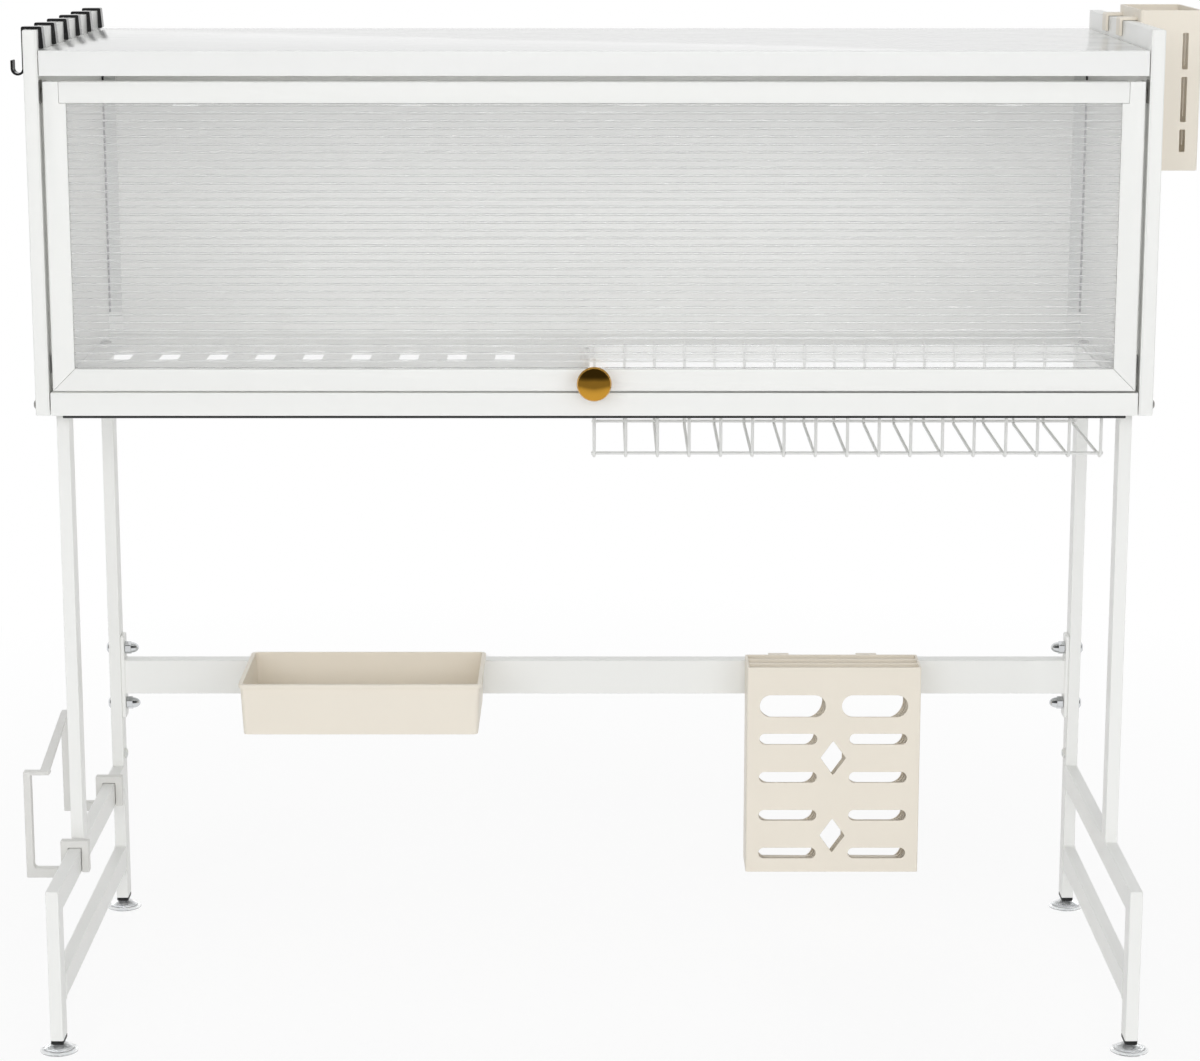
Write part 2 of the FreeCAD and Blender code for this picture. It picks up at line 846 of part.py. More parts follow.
def folded_bar(width, to_space, sweep):
    """Folded section, by distance in from the outer edge and back from the front, swept along."""
    inner = rolled_edge - sheet
    deep = door_thickness
    outline = [(width, 0), (rolled_edge, 0), (rolled_edge * roll_flat, rolled_edge * roll_flat),
               (0, rolled_edge), (0, deep), (rear_lip, deep), (rear_lip, deep - sheet),
               (sheet, deep - sheet), (sheet, rolled_edge),
               (sheet + inner * roll_flat, sheet + inner * roll_flat), (rolled_edge, sheet),
               (width, sheet)]
    return prism([to_space(u, v) for u, v in outline], sweep)


def door_stile():
    """Right upright of the door: mitred at its foot, notched at its head."""
    def to_space(u, v):
        return Vector(door_half_width - u, cabinet_front + v, door_bottom)

    bar = folded_bar(stile_width, to_space, ALONG_Z * (door_top - door_bottom))
    foot = prism([Vector(door_half_width, cabinet_front, door_bottom),
                  Vector(door_half_width - stile_width, cabinet_front, door_bottom + bottom_rail_width),
                  Vector(door_half_width - stile_width, cabinet_front, door_bottom)],
                 ALONG_Y * door_thickness)
    head = block(door_half_width - stile_top_width, door_half_width - stile_width, cabinet_front,
                 door_rear, door_top - top_rail_width, door_top)
    seat = Vector(door_half_width, pivot_depth, pivot_height)
    bush_hole = prism(ring_of(bush_sides, bush_radius, seat, -ALONG_X), -ALONG_X * sheet)
    return bar.cut([foot, head, bush_hole])


def door_top_rail():
    half = door_half_width - stile_top_width

    def to_space(u, v):
        return Vector(-half, cabinet_front + v, door_top - u)

    return folded_bar(top_rail_width, to_space, ALONG_X * 2 * half)


def door_bottom_rail():
    def to_space(u, v):
        return Vector(-door_half_width, cabinet_front + v, door_bottom + u)

    bar = folded_bar(bottom_rail_width, to_space, ALONG_X * 2 * door_half_width)
    mitre = prism([Vector(door_half_width, cabinet_front, door_bottom),
                   Vector(door_half_width, cabinet_front, door_bottom + bottom_rail_width),
                   Vector(door_half_width - stile_width, cabinet_front, door_bottom + bottom_rail_width)],
                  ALONG_Y * door_thickness)
    hole = small_hole(knob_screw_radius + screw_hole_clearance, knob_seat(), ALONG_Y, sheet)
    return bar.cut(both_sides(mitre) + [hole])


def knob_seat():
    return Vector(0, cabinet_front, door_bottom + bottom_rail_width / 2)


def door_panel():
    """Clear sheet with narrow ribs along its rear face, held inside the folded frame."""
    half = door_half_width - sheet - panel_edge_play
    bottom = door_bottom + sheet + panel_edge_play
    top = door_top - sheet - panel_edge_play
    front = cabinet_front + sheet
    back = front + panel_base
    count = int((top - bottom) / rib_pitch)
    first = (top + bottom) / 2 - (count - 1) * rib_pitch / 2
    outline = [(back, bottom), (front, bottom), (front, top), (back, top)]
    for index in range(count - 1, -1, -1):
        middle = first + index * rib_pitch
        outline += [(back, middle + rib_width / 2), (back + rib_height, middle + rib_width / 4),
                    (back + rib_height, middle - rib_width / 4), (back, middle - rib_width / 2)]
    panel = prism([Vector(-half, y, z) for y, z in outline], ALONG_X * 2 * half)
    seat = Vector(0, front, knob_seat().z)
    hole = small_hole(knob_screw_radius + screw_hole_clearance, seat, ALONG_Y, panel_base + rib_height)
    return panel.cut(hole)


def door_clip(x):
    """Bent clip that holds the panel against the top rail's front face."""
    back = cabinet_front + sheet + panel_base + rib_height
    top = door_top - sheet
    low = door_top - top_rail_width - clip_overhang
    leg = block(x - clip_width / 2, x + clip_width / 2, back, back + clip_thickness, low, top)
    arm = block(x - clip_width / 2, x + clip_width / 2, back, door_rear - sheet,
                top - clip_thickness, top)
    tail = block(x - clip_width / 2, x + clip_width / 2, door_rear - sheet - clip_thickness,
                 door_rear - sheet, top - rear_lip, top)
    return fused([leg, arm, tail])


def door_knob():
    """Round mushroom knob, turned about the line of its screw."""
    neck_end = knob_projection - knob_head_depth
    profile = [
        (0, 0),
        (knob_base_radius, 0),
        (knob_base_radius, knob_base_edge),
        (knob_stem_radius, knob_base_depth),
        (knob_stem_radius, neck_end),
        (knob_back_radius, neck_end + knob_back_rise),
        (knob_radius, knob_projection - knob_edge_drop),
        (knob_radius, knob_projection - knob_shoulder_drop),
        (knob_face_radius, knob_projection),
        (0, knob_projection),
    ]
    knob = turned(profile, knob_seat(), -ALONG_Y, knob_sides)
    thread = small_hole(knob_screw_radius + screw_hole_clearance, knob_seat(), -ALONG_Y,
                        knob_screw_reach + screw_hole_clearance)
    return knob.cut(thread)


def knob_screw():
    """Screw from inside the door, through the panel and the rail, into the knob."""
    back = cabinet_front + sheet + panel_base + rib_height
    length = back - cabinet_front + knob_screw_reach
    profile = [(0, -length), (knob_screw_radius, -length), (knob_screw_radius, 0),
               (knob_screw_head_radius, 0), (knob_screw_head_radius, knob_screw_head_height),
               (0, knob_screw_head_height)]
    return turned(profile, Vector(0, back, knob_seat().z), ALONG_Y, small_sides)


def hinge_plate():
    """Plate welded on the right liner with the pin that the door turns on."""
    y0 = pivot_depth - hinge_plate_depth / 2
    z0 = pivot_height - hinge_plate_height / 2
    inner = liner_inner - hinge_plate_thickness
    plate = bevelled_block(inner, liner_inner, y0, y0 + hinge_plate_depth,
                           z0, z0 + hinge_plate_height, ALONG_X, hinge_plate_bevel)
    seat = Vector(inner, pivot_depth, pivot_height)
    reach = door_side_gap - hinge_plate_thickness + hinge_pin_length
    return fused([plate, rod(hinge_pin_radius, seat, -ALONG_X, reach)])


def hinge_bush():
    """Bush in the right stile that runs on the hinge pin."""
    seat = Vector(door_half_width, pivot_depth, pivot_height)
    bush = prism(ring_of(bush_sides, bush_radius, seat, -ALONG_X), -ALONG_X * bush_length)
    return bush.cut(rod(hinge_pin_radius + hinge_pin_clearance, seat, -ALONG_X, bush_length))


def door_stop():
    """Soft pad on the right liner that the closed door leans on."""
    y0 = door_rear + stop_gap
    z0 = door_bottom + stop_lift
    return bevelled_block(liner_inner - stop_length, liner_inner, y0, y0 + stop_thickness,
                          z0, z0 + stop_height, ALONG_X, stop_bevel)


# Holders on the cross bar

def bar_hanger(x, back_y):
    """Strap over the bar and down behind it, from a holder whose back is at back_y."""
    z0 = bar_top + hang_gap
    rear = bar_rear + hang_gap
    over = block(x - hanger_width / 2, x + hanger_width / 2, back_y - tray_wall,
                 rear + hanger_thickness, z0, z0 + hanger_thickness)
    drop = block(x - hanger_width / 2, x + hanger_width / 2, rear, rear + hanger_thickness,
                 z0 - hanger_drop, z0 + hanger_thickness)
    strap = fused([over, drop])
    corner = [edge for edge in edges_along(strap, ALONG_X)
              if abs(edge.CenterOfMass.y - rear - hanger_thickness) < touching
              and abs(edge.CenterOfMass.z - z0 - hanger_thickness) < touching]
    return strap.makeChamfer(hanger_bevel, corner)


def tapered_box(x0, x1, y0, y1, z0, z1, taper, radius):
    """Round-cornered box whose front and side walls lean in by the taper towards its floor."""
    def outline(inset, z):
        points = []
        left = x0 + inset
        right = x1 - inset
        front = y0 + inset
        for middle_x, middle_y, first in ((right - radius, y1 - radius, 0), (left + radius, y1 - radius, 1),
                                          (left + radius, front + radius, 2),
                                          (right - radius, front + radius, 3)):
            for step in range(corner_steps + 1):
                angle = math.pi / 2 * (first + step / corner_steps)
                points.append(Vector(middle_x + radius * math.cos(angle),
                                     middle_y + radius * math.sin(angle), z))
        return Part.makePolygon(points + [points[0]])

    return Part.makeLoft([outline(taper, z0), outline(0, z1)], True, True)


def caddy_tray():
    """Open tray with leaning walls and a bead round its rim, hung on the bar by two straps."""
    x0 = tray_middle - tray_width / 2
    x1 = tray_middle + tray_width / 2
    y1 = holder_back
    y0 = y1 - tray_depth
    z0 = tray_top - tray_height
    body = tapered_box(x0 + tray_bead, x1 - tray_bead, y0 + tray_bead, y1, z0, tray_top,
                       tray_taper, tray_corner)
    bead = tapered_box(x0, x1, y0, y1, tray_top - tray_bead_height, tray_top, 0,
                       tray_corner + tray_bead)
    inset = tray_bead + tray_wall
    hollow = tapered_box(x0 + inset, x1 - inset, y0 + inset, y1 - tray_wall, z0 + tray_wall,
                         tray_top + tray_wall, tray_taper, tray_corner - tray_wall / 2)
    tray = fused([body, bead]).cut(hollow)
    straps = [bar_hanger(tray_middle + sign * tray_hanger_offset, y1) for sign in (-1, 1)]
    return fused([tray] + straps)


def board_holder():
    """Four thin walls between two sides and a floor, each wall cut with the same windows."""
    x0 = holder_middle - holder_width / 2
    x1 = holder_middle + holder_width / 2
    y1 = holder_back
    y0 = y1 - holder_depth
    z1 = holder_top
    z0 = z1 - holder_height
    body = bevelled_block(x0, x1, y0, y1, z0, z1, ALONG_Z, holder_bevel)
    pitch = (holder_depth - holder_wall) / holder_slot_count
    cuts = []
    for index in range(holder_slot_count):
        slot_y = y0 + holder_wall + index * pitch
        cuts.append(block(x0 + holder_wall, x1 - holder_wall, slot_y, slot_y + pitch - holder_wall,
                          z0 + holder_wall, z1))
    body = body.cut(cuts).cut(holder_windows(x0, x1, y0, z1))
    middle = holder_middle - holder_hanger_shift
    straps = [bar_hanger(middle + sign * holder_hanger_offset, y1) for sign in (-1, 1)]
    return fused([body] + straps)


def holder_windows(x0, x1, y0, z1):
    sweep = ALONG_Y * holder_depth
    windows = []
    large_x = window_inset + large_window_width / 2
    small_x = window_inset + small_window_width / 2
    for x in (x0 + large_x, x1 - large_x):
        windows.append(slot_prism(large_window_width, large_window_height,
                                  Vector(x, y0, z1 - large_window_drop), ALONG_X, ALONG_Z, sweep))
    for row in range(small_window_rows):
        z = z1 - small_window_drop - row * small_window_pitch
        for x in (x0 + small_x, x1 - small_x):
            windows.append(slot_prism(small_window_width, small_window_height,
                                      Vector(x, y0, z), ALONG_X, ALONG_Z, sweep))
    for drop in diamond_drops:
        middle = Vector((x0 + x1) / 2, y0, z1 - drop)
        corners = [middle + ALONG_X * (diamond_width / 2), middle + ALONG_Z * (diamond_height / 2),
                   middle - ALONG_X * (diamond_width / 2), middle - ALONG_Z * (diamond_height / 2)]
        windows.append(prism(corners, sweep))
    return windows


# Utensil holder on the right panel

def utensil_vents(x0, y0, y1, z0):
    vents = []
    for low, height in vent_rows:
        for offset in vent_columns_across:
            x = x0 + offset
            vents.append(block(x - vent_width / 2, x + vent_width / 2, y0, y1,
                               z0 + low, z0 + low + height))
        for offset in vent_columns_along:
            y = y0 + offset
            vents.append(block(x0 + utensil_width / 2, x0 + utensil_width, y - vent_width / 2,
                               y + vent_width / 2, z0 + low, z0 + low + height))
    return vents


def utensil_holder():
    """Deep open box hung outside the right panel by two straps over the panel's top edge."""
    x0 = utensil_left
    x1 = x0 + utensil_width
    y0 = utensil_front
    y1 = y0 + utensil_depth
    z0 = utensil_top - utensil_height
    shell = bevelled_block(x0, x1, y0, y1, z0, utensil_top, ALONG_Z, utensil_corner)
    hollow = bevelled_block(x0 + utensil_wall, x1 - utensil_wall, y0 + utensil_wall,
                            y1 - utensil_wall, z0 + utensil_floor, utensil_top, ALONG_Z,
                            utensil_corner - utensil_wall / 2)
    cuts = [hollow] + utensil_vents(x0, y0, y1, z0)
    for step in (-1, 0, 1):
        start = Vector((x0 + x1) / 2, (y0 + y1) / 2 + step * drain_pitch, z0)
        cuts.append(small_hole(drain_radius, start, ALONG_Z, utensil_floor))
    holder = shell.cut(cuts)
    low = panel_top + hook_gap
    inner = liner_inner - hook_gap
    straps = []
    for place in strap_places:
        y = y0 + place - strap_width / 2
        over = block(inner - strap_thickness, x0 + utensil_wall, y, y + strap_width,
                     low, low + strap_thickness)
        leg = block(inner - strap_thickness, inner, y, y + strap_width,
                    low - strap_leg_drop, low + strap_thickness)
        straps += [over, leg]
    return fused([holder] + straps)


# Hooks over the left panel

def panel_hook(index):
    """Strap over the panel's top edge with a round hook at its foot."""
    y0 = cabinet_front + hook_inset + index * hook_pitch
    across = ALONG_Y * hook_width
    inner = -(liner_inner - hook_gap)
    outer = -(cover_outer + hook_gap)
    low = panel_top + hook_gap
    top = low + hook_top
    radius = hook_reach / 2
    turn_x = outer - radius
    turn_z = panel_top - hook_bottom_drop + radius
    inner_leg = prism([Vector(inner, y0, low), Vector(inner, y0, low - hook_leg_drop),
                       Vector(inner + hook_leg + hook_leg_flare, y0, low - hook_leg_drop),
                       Vector(inner + hook_leg, y0, low)], across)
    bridge = bevelled_bridge(outer - hook_strap, inner + hook_leg, y0, low, top)
    outer_leg = block(outer - hook_strap, outer, y0, y0 + hook_width, turn_z, low)
    bend = []
    for arc_radius, turn in ((radius, 1), (radius - hook_strap, -1)):
        for step in range(hook_bend_steps + 1):
            angle = math.pi * (step if turn > 0 else hook_bend_steps - step) / hook_bend_steps
            bend.append(Vector(turn_x + arc_radius * math.cos(angle), y0,
                               turn_z - arc_radius * math.sin(angle)))
    tip = block(turn_x - radius, turn_x - radius + hook_strap, y0, y0 + hook_width,
                turn_z, turn_z + hook_tip_rise)
    return fused([inner_leg, bridge, outer_leg, prism(bend, across), tip])


def bevelled_bridge(x0, x1, y0, low, top):
    """Top of a hook's strap, with its two outer corners cut."""
    points = [Vector(x0, y0, low), Vector(x1, y0, low), Vector(x1, y0, top - hook_bevel),
              Vector(x1 - hook_bevel, y0, top), Vector(x0 + hook_bevel, y0, top),
              Vector(x0, y0, top - hook_bevel)]
    return prism(points, ALONG_Y * hook_width)


# Side rack on the left upper rail

def side_rack():
    """Two bent arms that clip over the left upper rail, joined by a flat band at the top."""
    inner = -(leg_inner - rack_play)
    outer = -(half_width + rack_play)
    seat = upper_rail_top + hang_gap
    top = seat + rack_strip
    foot = seat - rack_outer_drop
    arm_x = outer - rack_reach
    arm_top = foot + rack_arm_height
    pieces = []
    for y0 in (rack_front_place, rack_rear_place):
        y1 = y0 + rack_strip_width
        pieces.append(block(inner, inner + rack_strip, y0, y1, seat - rack_inner_drop, top))
        pieces.append(block(outer - rack_strip, inner + rack_strip, y0, y1, seat, top))
        pieces.append(block(outer - rack_strip, outer, y0, y1, foot, top))
        pieces.append(block(arm_x, outer, y0, y1, foot, foot + rack_foot))
        pieces.append(block(arm_x, arm_x + rack_strip, y0, y1, foot, arm_top))
    front = rack_front_place
    rear = rack_rear_place
    jog_x = arm_x + rack_strip + rack_jog
    pieces.append(block(arm_x, jog_x, front, front + rack_strip_width, arm_top - rack_band, arm_top))
    band = prism([Vector(jog_x - rack_strip_width, front, arm_top - rack_band),
                  Vector(jog_x, front, arm_top - rack_band),
                  Vector(arm_x + rack_strip, rear + rack_strip_width, arm_top - rack_band),
                  Vector(arm_x, rear + rack_strip_width, arm_top - rack_band),
                  Vector(arm_x, rear, arm_top - rack_band)], ALONG_Z * rack_band)
    pieces.append(band)
    rack = fused(pieces)
    inside = [edge for edge in edges_along(rack, ALONG_Y)
              if abs(edge.CenterOfMass.x - arm_x - rack_strip) < touching
              and abs(edge.CenterOfMass.z - foot - rack_foot) < touching]
    return rack.makeFillet(rack_inside_radius, inside)


# Every piece is saved under its own name

frame = base_frame()
save("base_frame_right", frame)
save("base_frame_left", mirrored(frame))
save("front_post_right", post(post_setback))
save("front_post_left", mirrored(post(post_setback)))
save("rear_post_right", rear_post())
save("rear_post_left", mirrored(rear_post()))
save("post_joint_screws", Part.makeCompound(both_sides(joint_screw())))

inserts = []
floor_screws = []
for front_face in (post_setback, rear_leg_front):
    inserts += both_sides(post_insert(front_face))
    floor_screws += both_sides(post_screw(front_face))
save("post_inserts", Part.makeCompound(inserts))
save("post_top_screws", Part.makeCompound(floor_screws))

save("foot_plugs", Part.makeCompound([foot_plug(place) for place in foot_places()]))
save("suction_cups", Part.makeCompound([suction_cup(place) for place in foot_places()]))

save("cross_bar", cross_bar())
bolts = []
nuts = []
for bolt_height in bolt_heights():
    bolts += both_sides(bar_bolt(bolt_height))
    nuts += both_sides(dome_nut(bolt_height))
save("cross_bar_bolts", Part.makeCompound(bolts))
save("dome_nuts", Part.makeCompound(nuts))

save("side_cover_right", side_cover())
save("side_cover_left", mirrored(side_cover()))
save("side_liner_right", side_liner())
save("side_liner_left", mirrored(side_liner()))
save("top_shelf", top_shelf())
save("cabinet_floor", cabinet_floor())
save("back_panel", back_panel())
panel_screws = []
for screw_y, screw_z in panel_screw_places():
    panel_screws += both_sides(panel_screw(screw_y, screw_z))
save("panel_screws", Part.makeCompound(panel_screws))

save("basket_rim", basket_rim())
save("basket_cross_wires", Part.makeCompound(basket_cross_wires()))
save("basket_floor_wires", Part.makeCompound(basket_floor_wires()))

save("door_stile_right", door_stile())
save("door_stile_left", mirrored(door_stile()))
save("door_top_rail", door_top_rail())
save("door_bottom_rail", door_bottom_rail())
save("door_panel", door_panel())
save("door_panel_clips", Part.makeCompound([door_clip(place) for place in clip_places]))
save("door_knob", door_knob())
save("door_knob_screw", knob_screw())
save("hinge_bushes", Part.makeCompound(both_sides(hinge_bush())))
save("hinge_plates", Part.makeCompound(both_sides(hinge_plate())))
save("door_stops", Part.makeCompound(both_sides(door_stop())))

save("caddy_tray", caddy_tray())
save("board_holder", board_holder())
save("utensil_holder", utensil_holder())
for hook_index in range(hook_count):
    save("hook_" + str(hook_index + 1), panel_hook(hook_index))
save("side_rack", side_rack())
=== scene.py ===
import json
import math

import bmesh
import bpy
from bpy.props import FloatProperty, FloatVectorProperty, IntProperty, PointerProperty
from mathutils import Matrix, Vector


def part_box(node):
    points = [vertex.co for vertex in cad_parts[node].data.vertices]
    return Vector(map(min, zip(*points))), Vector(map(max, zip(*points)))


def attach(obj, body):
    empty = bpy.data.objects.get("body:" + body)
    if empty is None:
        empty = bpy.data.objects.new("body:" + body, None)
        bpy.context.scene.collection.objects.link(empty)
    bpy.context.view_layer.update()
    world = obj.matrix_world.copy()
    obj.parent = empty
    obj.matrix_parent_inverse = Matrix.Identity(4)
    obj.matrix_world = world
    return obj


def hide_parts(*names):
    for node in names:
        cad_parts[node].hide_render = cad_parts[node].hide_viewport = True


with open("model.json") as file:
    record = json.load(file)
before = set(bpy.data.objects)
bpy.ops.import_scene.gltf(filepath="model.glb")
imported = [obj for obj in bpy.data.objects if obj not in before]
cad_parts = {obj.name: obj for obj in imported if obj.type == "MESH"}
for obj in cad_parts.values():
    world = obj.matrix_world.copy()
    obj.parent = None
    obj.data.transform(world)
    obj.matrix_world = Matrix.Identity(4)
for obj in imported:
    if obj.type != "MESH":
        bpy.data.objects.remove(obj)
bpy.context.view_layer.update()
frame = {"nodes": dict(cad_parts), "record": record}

bl_info = {
    "name": "Over-sink dish rack",
    "version": (1, 0, 0),
    "blender": (4, 5, 0),
    "location": "View3D > Sidebar > Dish rack",
    "description": "Dresses the solids of an over-sink dish rack and sets up its studio",
    "category": "Object",
}

MM = 0.001
body_of = {node: body for body, nodes in frame["record"]["behaviour"]["bodies"].items()
           for node in nodes}
ALONG_X = Vector((1, 0, 0))
ALONG_Y = Vector((0, 1, 0))
ALONG_Z = Vector((0, 0, 1))

# The frames' rectangular tube, and the height of the lower rails' middle above the legs' ends
TUBE_WIDE = 10 * MM
TUBE_DEEP = 20 * MM
LOWER_RAIL = 38 * MM

# The cross bar's tube and the plates welded to its ends
BAR_WIDE = 15 * MM
BAR_TALL = 30 * MM
BAR_PLATE = 3 * MM

# How far a piece that hangs stands off its seat
REST_GAP = 0.3 * MM


def linear(code):
    """Linear colour of an sRGB hex value."""
    channels = []
    for start in (0, 2, 4):
        value = int(code[start:start + 2], 16) / 255
        channels.append(value / 12.92 if value <= 0.04045 else ((value + 0.055) / 1.055) ** 2.4)
    return tuple(channels)


# Settings that a user would change

def length(name, description, millimetres):
    return FloatProperty(name=name, description=description, default=millimetres * MM,
                         min=0.0, unit="LENGTH", subtype="DISTANCE", precision=5)


def tint(name, description, code):
    return FloatVectorProperty(name=name, description=description, default=linear(code),
                               min=0.0, max=1.0, size=3, subtype="COLOR")


def count_of(name, description, number):
    return IntProperty(name=name, description=description, default=number, min=1)


class RackSizes(bpy.types.PropertyGroup):
    tube_edge: length("Tube corner", "Rounding of the corners of the steel tube", 0.7)
    sheet_edge: length("Sheet edge", "Rounding of cut and folded sheet steel", 0.3)
    moulded_edge: length("Moulded edge", "Rounding of the edges of moulded plastic", 0.5)
    wire: length("Basket wire", "Diameter of the basket's wires", 2.5)
    rim_wire: length("Rim wire", "Diameter of the basket's rim wire", 4.0)
    wire_bend: length("Wire bend", "Inner bend of the basket's wires", 4.0)
    wire_pitch: length("Wire pitch", "Spacing of the basket's cross wires", 25.0)
    rib_pitch: length("Rib pitch", "Spacing of the ribs on the clear panel", 6.0)
    rib_width: length("Rib width", "Width of one rib on the clear panel", 1.6)
    rib_height: length("Rib height", "How far a rib stands out of the clear panel", 0.6)
    weld: length("Weld bead", "Thickness of the weld beads under the coating", 1.6)
    peel: length("Orange peel", "Distance between the soft waves of the sprayed powder", 2.0)
    grain: length("Mould grain", "Distance between the grains of the moulded plastic", 0.7)
    round_sides: count_of("Round sides", "Sides of turned and moulded round forms", 48)


class RackColours(bpy.types.PropertyGroup):
    steel: tint("Coated steel", "White powder coating", "F5F5F2")
    shelf: tint("Shelf", "Glossy white coating of the top shelf", "F4F4F2")
    # Painted shade: the wires' coating is white, and this grey stands in for the shade along each wire
    wire: tint("Wire", "Coating of the basket's wires", "D2D2CF")
    rack_bar: tint("Side rack", "Coating of the side rack", "E4E3DF")
    clear: tint("Clear panel", "Tint of the clear door panel", "FFFFFF")
    cup: tint("Suction cup", "Tint of the soft clear cups", "EEF0F1")
    cream: tint("Cream plastic", "Tray, board holder and utensil holder", "F3EBDD")
    white_cap: tint("White plastic", "Caps, clips and bushes", "E9E8E4")
    black: tint("Black plastic", "Glossy black of the hooks", "0E0E10")
    plug: tint("Foot plug", "Dull black of the foot plugs", "0C0C0D")
    brass: tint("Brass", "Polished brass of the knob", "CF9A3A")
    chrome: tint("Chrome", "Plated dome nuts and bolts", "D9DBDD")
    zinc: tint("Zinc", "Plated screws", "A9A8A4")
    rubber: tint("Rubber", "Grey rubber of the door's stops", "7E7E7C")
    # Painted shade: dark grey for the strips that stand in for the shade under the front flange and in the
    # rear corner gaps
    edging: tint("Edging", "Dark grey edging under the front flange and in the rear corners", "333333")
    # Painted shade: light grey for the strips that stand in for the shade on the rear corner returns
    return_grey: tint("Corner returns", "Light grey coating of the rear corner returns", "D2D3D1")


def sizes():
    return bpy.context.scene.dish_rack_sizes


def colours():
    return bpy.context.scene.dish_rack_colours


# Nodes, for materials and for geometry

def feed(tree, node, inputs):
    """Sets a node's inputs, each to a value, a socket, or a node that gives its first output."""
    for name, value in inputs.items():
        if isinstance(value, bpy.types.Node):
            value = value.outputs[0]
        if isinstance(value, bpy.types.NodeSocket):
            tree.links.new(value, node.inputs[name])
        else:
            node.inputs[name].default_value = value


def add_node(tree, kind, inputs=None, **settings):
    node = tree.nodes.new(kind)
    for name, value in settings.items():
        setattr(node, name, value)
    feed(tree, node, inputs or {})
    return node


# Materials

def made_once(maker):
    """The material of a maker function, built the first time it is asked for."""
    return bpy.data.materials.get(maker.__name__) or maker(maker.__name__)


def shader_of(name, colour, **values):
    material = bpy.data.materials.new(name)
    material.use_nodes = True
    tree = material.node_tree
    shader = tree.nodes["Principled BSDF"]
    feed(tree, shader, {"Base Color": (*colour, 1)})
    feed(tree, shader, {socket.replace("_", " "): value for socket, value in values.items()})
    return material, tree, shader


def object_place(tree):
    return add_node(tree, "ShaderNodeTexCoord").outputs["Object"]


def waves(tree, size, detail=2.0, stretch=(1, 1, 1)):
    """Even noise whose waves are as far apart as the size, in metres, and stretched along an axis."""
    mapping = add_node(tree, "ShaderNodeMapping", {"Vector": object_place(tree), "Scale": stretch})
    noise = add_node(tree, "ShaderNodeTexNoise", {"Vector": mapping, "Scale": 1 / size, "Detail": detail})
    return noise.outputs["Fac"]


def relief(tree, shader, height, depth):
    bump = add_node(tree, "ShaderNodeBump", {"Height": height, "Distance": depth, "Strength": 1.0})
    feed(tree, shader, {"Normal": bump})


def mottled(tree, shader, fac, colour, shade):
    """Base colour that drifts between a colour and a slightly darker shade of it."""
    darker = tuple(channel * shade for channel in colour)
    mix = add_node(tree, "ShaderNodeMix", {"Factor": fac, 6: (*darker, 1), 7: (*colour, 1)},
                   data_type="RGBA")
    feed(tree, shader, {"Base Color": mix.outputs[2]})


def varied_gloss(tree, shader, fac, low, high):
    spread = add_node(tree, "ShaderNodeMapRange", {
        "Value": fac, "From Min": 0.3, "From Max": 0.7, "To Min": low, "To Max": high})
    feed(tree, shader, {"Roughness": spread})


def finished(name, colour, drift, gloss, bumps, **values):
    """Material whose colour drifts, whose gloss varies and whose face is uneven.

    Each is given by the distance between its waves: drift with the shade that the colour reaches,
    gloss with the least and greatest roughness, and bumps with their height and any finer detail."""
    material, tree, shader = shader_of(name, colour, **values)
    pitch, shade = drift
    mottled(tree, shader, waves(tree, pitch), colour, shade)
    pitch, smoothest, roughest = gloss
    varied_gloss(tree, shader, waves(tree, pitch), smoothest, roughest)
    pitch, height, *detail = bumps
    relief(tree, shader, waves(tree, pitch, *detail), height)
    return material


def powder_coated_steel(name):
    # Sprayed powder, baked: satin, with a soft orange peel that breaks up the reflections
    return finished(name, colours().steel, drift=(90 * MM, 0.985), gloss=(25 * MM, 0.30, 0.38),
                    bumps=(sizes().peel, 0.012 * MM), IOR=1.5)


def glossy_coated_steel(name):
    # The same powder, finer and glossier: the shelf mirrors what stands at its ends
    return finished(name, colours().shelf, drift=(120 * MM, 0.99), gloss=(40 * MM, 0.10, 0.16),
                    bumps=(4 * sizes().peel, 0.0008 * MM), IOR=1.52)


def grey_coated_steel(name):
    # Painted shade: light grey that stands in for the shade on the rear corner returns
    return finished(name, colours().return_grey, drift=(40 * MM, 0.97), gloss=(15 * MM, 0.3, 0.42),
                    bumps=(sizes().peel, 0.012 * MM), IOR=1.5)


def coated_wire(name):
    # Drawn steel wire dipped in a thick white coating: smooth and slightly uneven along its length. Its
    # colour is greyed below white as painted shade along each wire
    return finished(name, colours().wire, drift=(12 * MM, 0.96), gloss=(6 * MM, 0.25, 0.4),
                    bumps=(1.5 * MM, 0.02 * MM), IOR=1.5)


def coated_flat_bar(name):
    # Bent flat bar with a thick, softly shining dipped coating
    return finished(name, colours().rack_bar, drift=(30 * MM, 0.975), gloss=(10 * MM, 0.28, 0.42),
                    bumps=(2.5 * MM, 0.02 * MM), IOR=1.5)


def cream_abs(name):
    # Injection-moulded ABS with a fine spark-eroded grain: dull, warm, evenly coloured
    return finished(name, colours().cream, drift=(45 * MM, 0.97), gloss=(8 * MM, 0.40, 0.5),
                    bumps=(sizes().grain, 0.02 * MM, 4.0), IOR=1.54)


def white_nylon(name):
    # Moulded nylon: milky white with a low sheen
    return finished(name, colours().white_cap, drift=(10 * MM, 0.97), gloss=(3 * MM, 0.32, 0.42),
                    bumps=(0.6 * MM, 0.01 * MM), IOR=1.53, Subsurface_Weight=0.05)


def glossy_black_abs(name):
    # Moulded ABS from a polished mould: deep black with sharp, slightly wavy highlights
    return finished(name, colours().black, drift=(15 * MM, 0.8), gloss=(5 * MM, 0.04, 0.09),
                    bumps=(6 * MM, 0.01 * MM), IOR=1.54)


def black_polyethylene(name):
    # Moulded polyethylene plugs: dull black, scuffed where they are pushed in
    return finished(name, colours().plug, drift=(6 * MM, 0.7), gloss=(1.5 * MM, 0.45, 0.65),
                    bumps=(0.5 * MM, 0.02 * MM), IOR=1.51)


